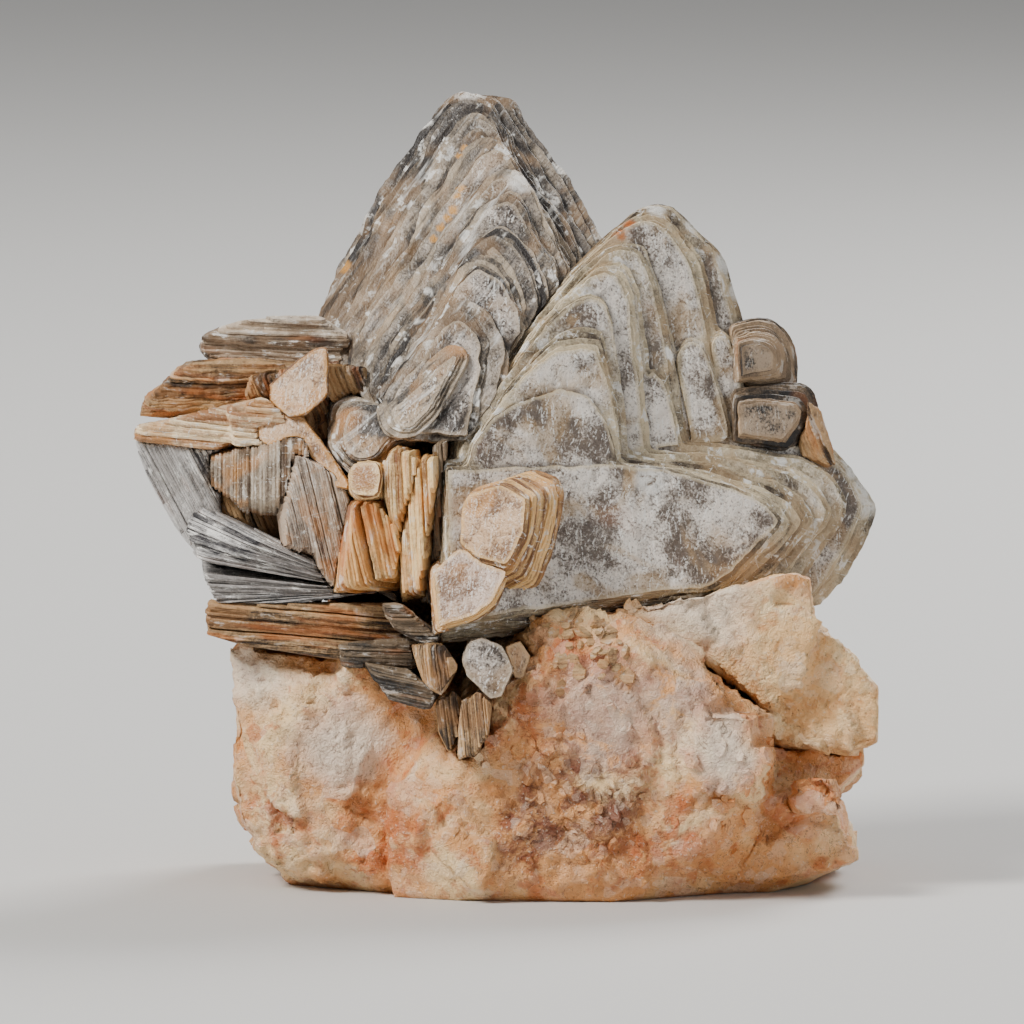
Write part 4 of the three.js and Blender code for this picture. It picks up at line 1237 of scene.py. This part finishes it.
class SPECIMEN_OT_feldspar(bpy.types.Operator):
    """Make the feldspar base, its ledge and its block, with chips and flakes lying on them"""

    bl_idname = "specimen.feldspar"
    bl_label = "Feldspar"
    bl_options = {"REGISTER", "UNDO"}

    def execute(self, context):
        settings = context.scene.feldspar
        look = Rock(
            cream=paint(250, 212, 156), peach=paint(230, 162, 100), rust=paint(192, 94, 40),
            deep=paint(104, 52, 32), white=paint(244, 228, 206), grey=paint(206, 178, 160),
            pale=((-26.7, -25, 24.4, 10), (34.1, -38, 25.8, 8), (30.9, -26, 47, 12),
                  (-42, -22, 36, 9)),
            rusty=((13.3, -34.9, 39.9, 9), (0.5, -34.2, 31.8, 12), (24.5, -35, 9.4, 12),
                   (45.3, -26, 51.1, 7), (-37.9, -22, 12.8, 10), (-20, -30, 10, 12)),
            red=((11.7, -35, 17.4, 13), (5.3, -35, 12.6, 11)),
            glassy=((16, -35, 30, 12), (26, -36, 33, 9), (34, -38, 22, 6)),
        )
        finish = rock_finish("feldspar_finish", look)
        block = rock_finish("rusty_feldspar_finish", look._replace(cream=paint(222, 150, 92)))
        base = broken_rock("feldspar_matrix", 1, settings)
        make_piece("feldspar_base", base, finish, "feldspar", ["feldspar_matrix"])
        ledge = broken_rock("feldspar_ledge", 2, settings)
        pale = look._replace(
            cream=paint(255, 224, 170), peach=paint(246, 196, 134), rust=paint(212, 140, 76)
        )
        make_piece(
            "feldspar_shoulder", ledge, rock_finish("pale_feldspar_finish", pale), "feldspar",
            ["feldspar_ledge"],
        )
        lump = broken_rock("feldspar_block", 3, settings)
        make_piece("feldspar_lump", lump, block, "feldspar_rust", ["feldspar_block"])

        for name, centre, reach, count, material, slot in (
            ("feldspar_chips", (0.008, -0.036, 0.019), 0.018, 260, finish, "feldspar"),
            ("rusty_chips", (0.040, -0.036, 0.017), 0.016, 130, block, "feldspar_rust"),
            ("loose_mica_flakes", (0.012, -0.034, 0.043), 0.012, 110,
             mica_finish("flake_mica", BROWN), "mica_gold"),
        ):
            tree = scatter_tree(name, flake, material)
            mesh = scatter(name, base, tree, {
                "Centre": centre, "Reach": reach, "Density": count / (math.pi * reach * reach),
                "Smallest": (0.0007, 0.0006, 0.0003), "Largest": (0.0036, 0.0026, 0.0011),
                "Turn": 0.45, "Seed": 7,
            })
            make_piece(name, mesh, material, slot)
        return {"FINISHED"}


def add_area(name, place, aim, size, power, tone=(1.0, 1.0, 1.0)):
    light = bpy.data.lights.new(name, "AREA")
    light.shape = "RECTANGLE"
    light.size, light.size_y = size
    light.energy = power
    light.color = tone
    lamp = bpy.data.objects.new(name, light)
    bpy.context.scene.collection.objects.link(lamp)
    lamp.location = place
    lamp.rotation_euler = (Vector(aim) - Vector(place)).to_track_quat("-Z", "Y").to_euler()


class SPECIMEN_OT_stage(bpy.types.Operator):
    """Make the floor, the lights and the camera"""

    bl_idname = "specimen.stage"
    bl_label = "Stage"
    bl_options = {"REGISTER", "UNDO"}

    def execute(self, context):
        scene = context.scene
        settings = scene.specimen_stage
        floor_mesh = bpy.data.meshes.new("floor")
        half = 15.0
        corners = [(-half, -half, 0), (half, -half, 0), (half, half, 0), (-half, half, 0)]
        floor_mesh.from_pydata(corners, [], [(0, 1, 2, 3)])
        floor = bpy.data.objects.new("floor", floor_mesh)
        scene.collection.objects.link(floor)
        paper = Finish("floor_paper")
        floor_mesh.materials.append(
            paper.done({"Base Color": opaque(tuple(settings.floor)), "Roughness": 0.7}, {})
        )

        world = bpy.data.worlds.new("studio")
        world.use_nodes = True
        sky = world.node_tree.nodes["Background"]
        sky.inputs["Color"].default_value = (0.86, 0.88, 0.92, 1.0)
        sky.inputs["Strength"].default_value = 0.12
        scene.world = world

        aim = settings.centre
        key = settings.key
        add_area("key_light", (-1.2, -0.8, 1.4), aim, (0.6, 0.6), key * 1.5, (1.0, 0.98, 0.95))
        add_area("ceiling_light", (0, 0.5, 3.0), (0, 0.5, 0), (6.0, 6.0), key * 1.4)
        add_area("fill_light", (1.3, -1.2, 0.5), aim, (1.0, 1.0), key * 0.16, (0.95, 0.97, 1.0))
        add_area("rim_light", (0.7, 0.9, 0.9), aim, (0.7, 0.5), key * 0.6, (1.0, 1.0, 1.0))

        lens = bpy.data.cameras.new("camera")
        lens.sensor_width = 36.0
        lens.lens = lens.sensor_width * settings.distance / settings.width
        lens.clip_start = 0.01
        lens.clip_end = 100
        camera = bpy.data.objects.new("camera", lens)
        scene.collection.objects.link(camera)
        back = Vector((0, -math.cos(SIGHT), math.sin(SIGHT))) * settings.distance
        camera.location = Vector(settings.centre) + back
        camera.rotation_euler = (math.pi / 2 - SIGHT, 0, 0)
        scene.camera = camera
        return {"FINISHED"}


STEPS = (
    SPECIMEN_OT_tall_book, SPECIMEN_OT_front_book, SPECIMEN_OT_six_sided_books,
    SPECIMEN_OT_upright_books, SPECIMEN_OT_left_books, SPECIMEN_OT_fan_and_split_books,
    SPECIMEN_OT_small_books, SPECIMEN_OT_feldspar, SPECIMEN_OT_stage,
)


class SPECIMEN_PT_panel(bpy.types.Panel):
    """The steps that make the specimen"""

    bl_idname = "SPECIMEN_PT_panel"
    bl_label = "Mica specimen"
    bl_space_type = "VIEW_3D"
    bl_region_type = "UI"
    bl_category = "Specimen"

    def draw(self, context):
        scene = context.scene
        for group in (scene.mica_sheets, scene.feldspar, scene.specimen_stage):
            for key in group.bl_rna.properties.keys():
                if key not in ("rna_type", "name"):
                    self.layout.prop(group, key)
        for step in STEPS:
            self.layout.operator(step.bl_idname)


SETTINGS = {
    "mica_sheets": SheetSettings,
    "feldspar": RockSettings,
    "specimen_stage": StageSettings,
}


def register():
    for key, group in SETTINGS.items():
        bpy.utils.register_class(group)
        setattr(bpy.types.Scene, key, bpy.props.PointerProperty(type=group))
    for step in (*STEPS, SPECIMEN_PT_panel):
        bpy.utils.register_class(step)


def unregister():
    for step in reversed((*STEPS, SPECIMEN_PT_panel)):
        bpy.utils.unregister_class(step)
    for key, group in SETTINGS.items():
        delattr(bpy.types.Scene, key)
        bpy.utils.unregister_class(group)


def main():
    register()
    bpy.ops.specimen.tall_book()
    bpy.ops.specimen.front_book()
    bpy.ops.specimen.six_sided_books()
    bpy.ops.specimen.upright_books()
    bpy.ops.specimen.left_books()
    bpy.ops.specimen.fan_and_split_books()
    bpy.ops.specimen.small_books()
    bpy.ops.specimen.feldspar()
    bpy.ops.specimen.stage()


if __name__ == "__main__":
    main()
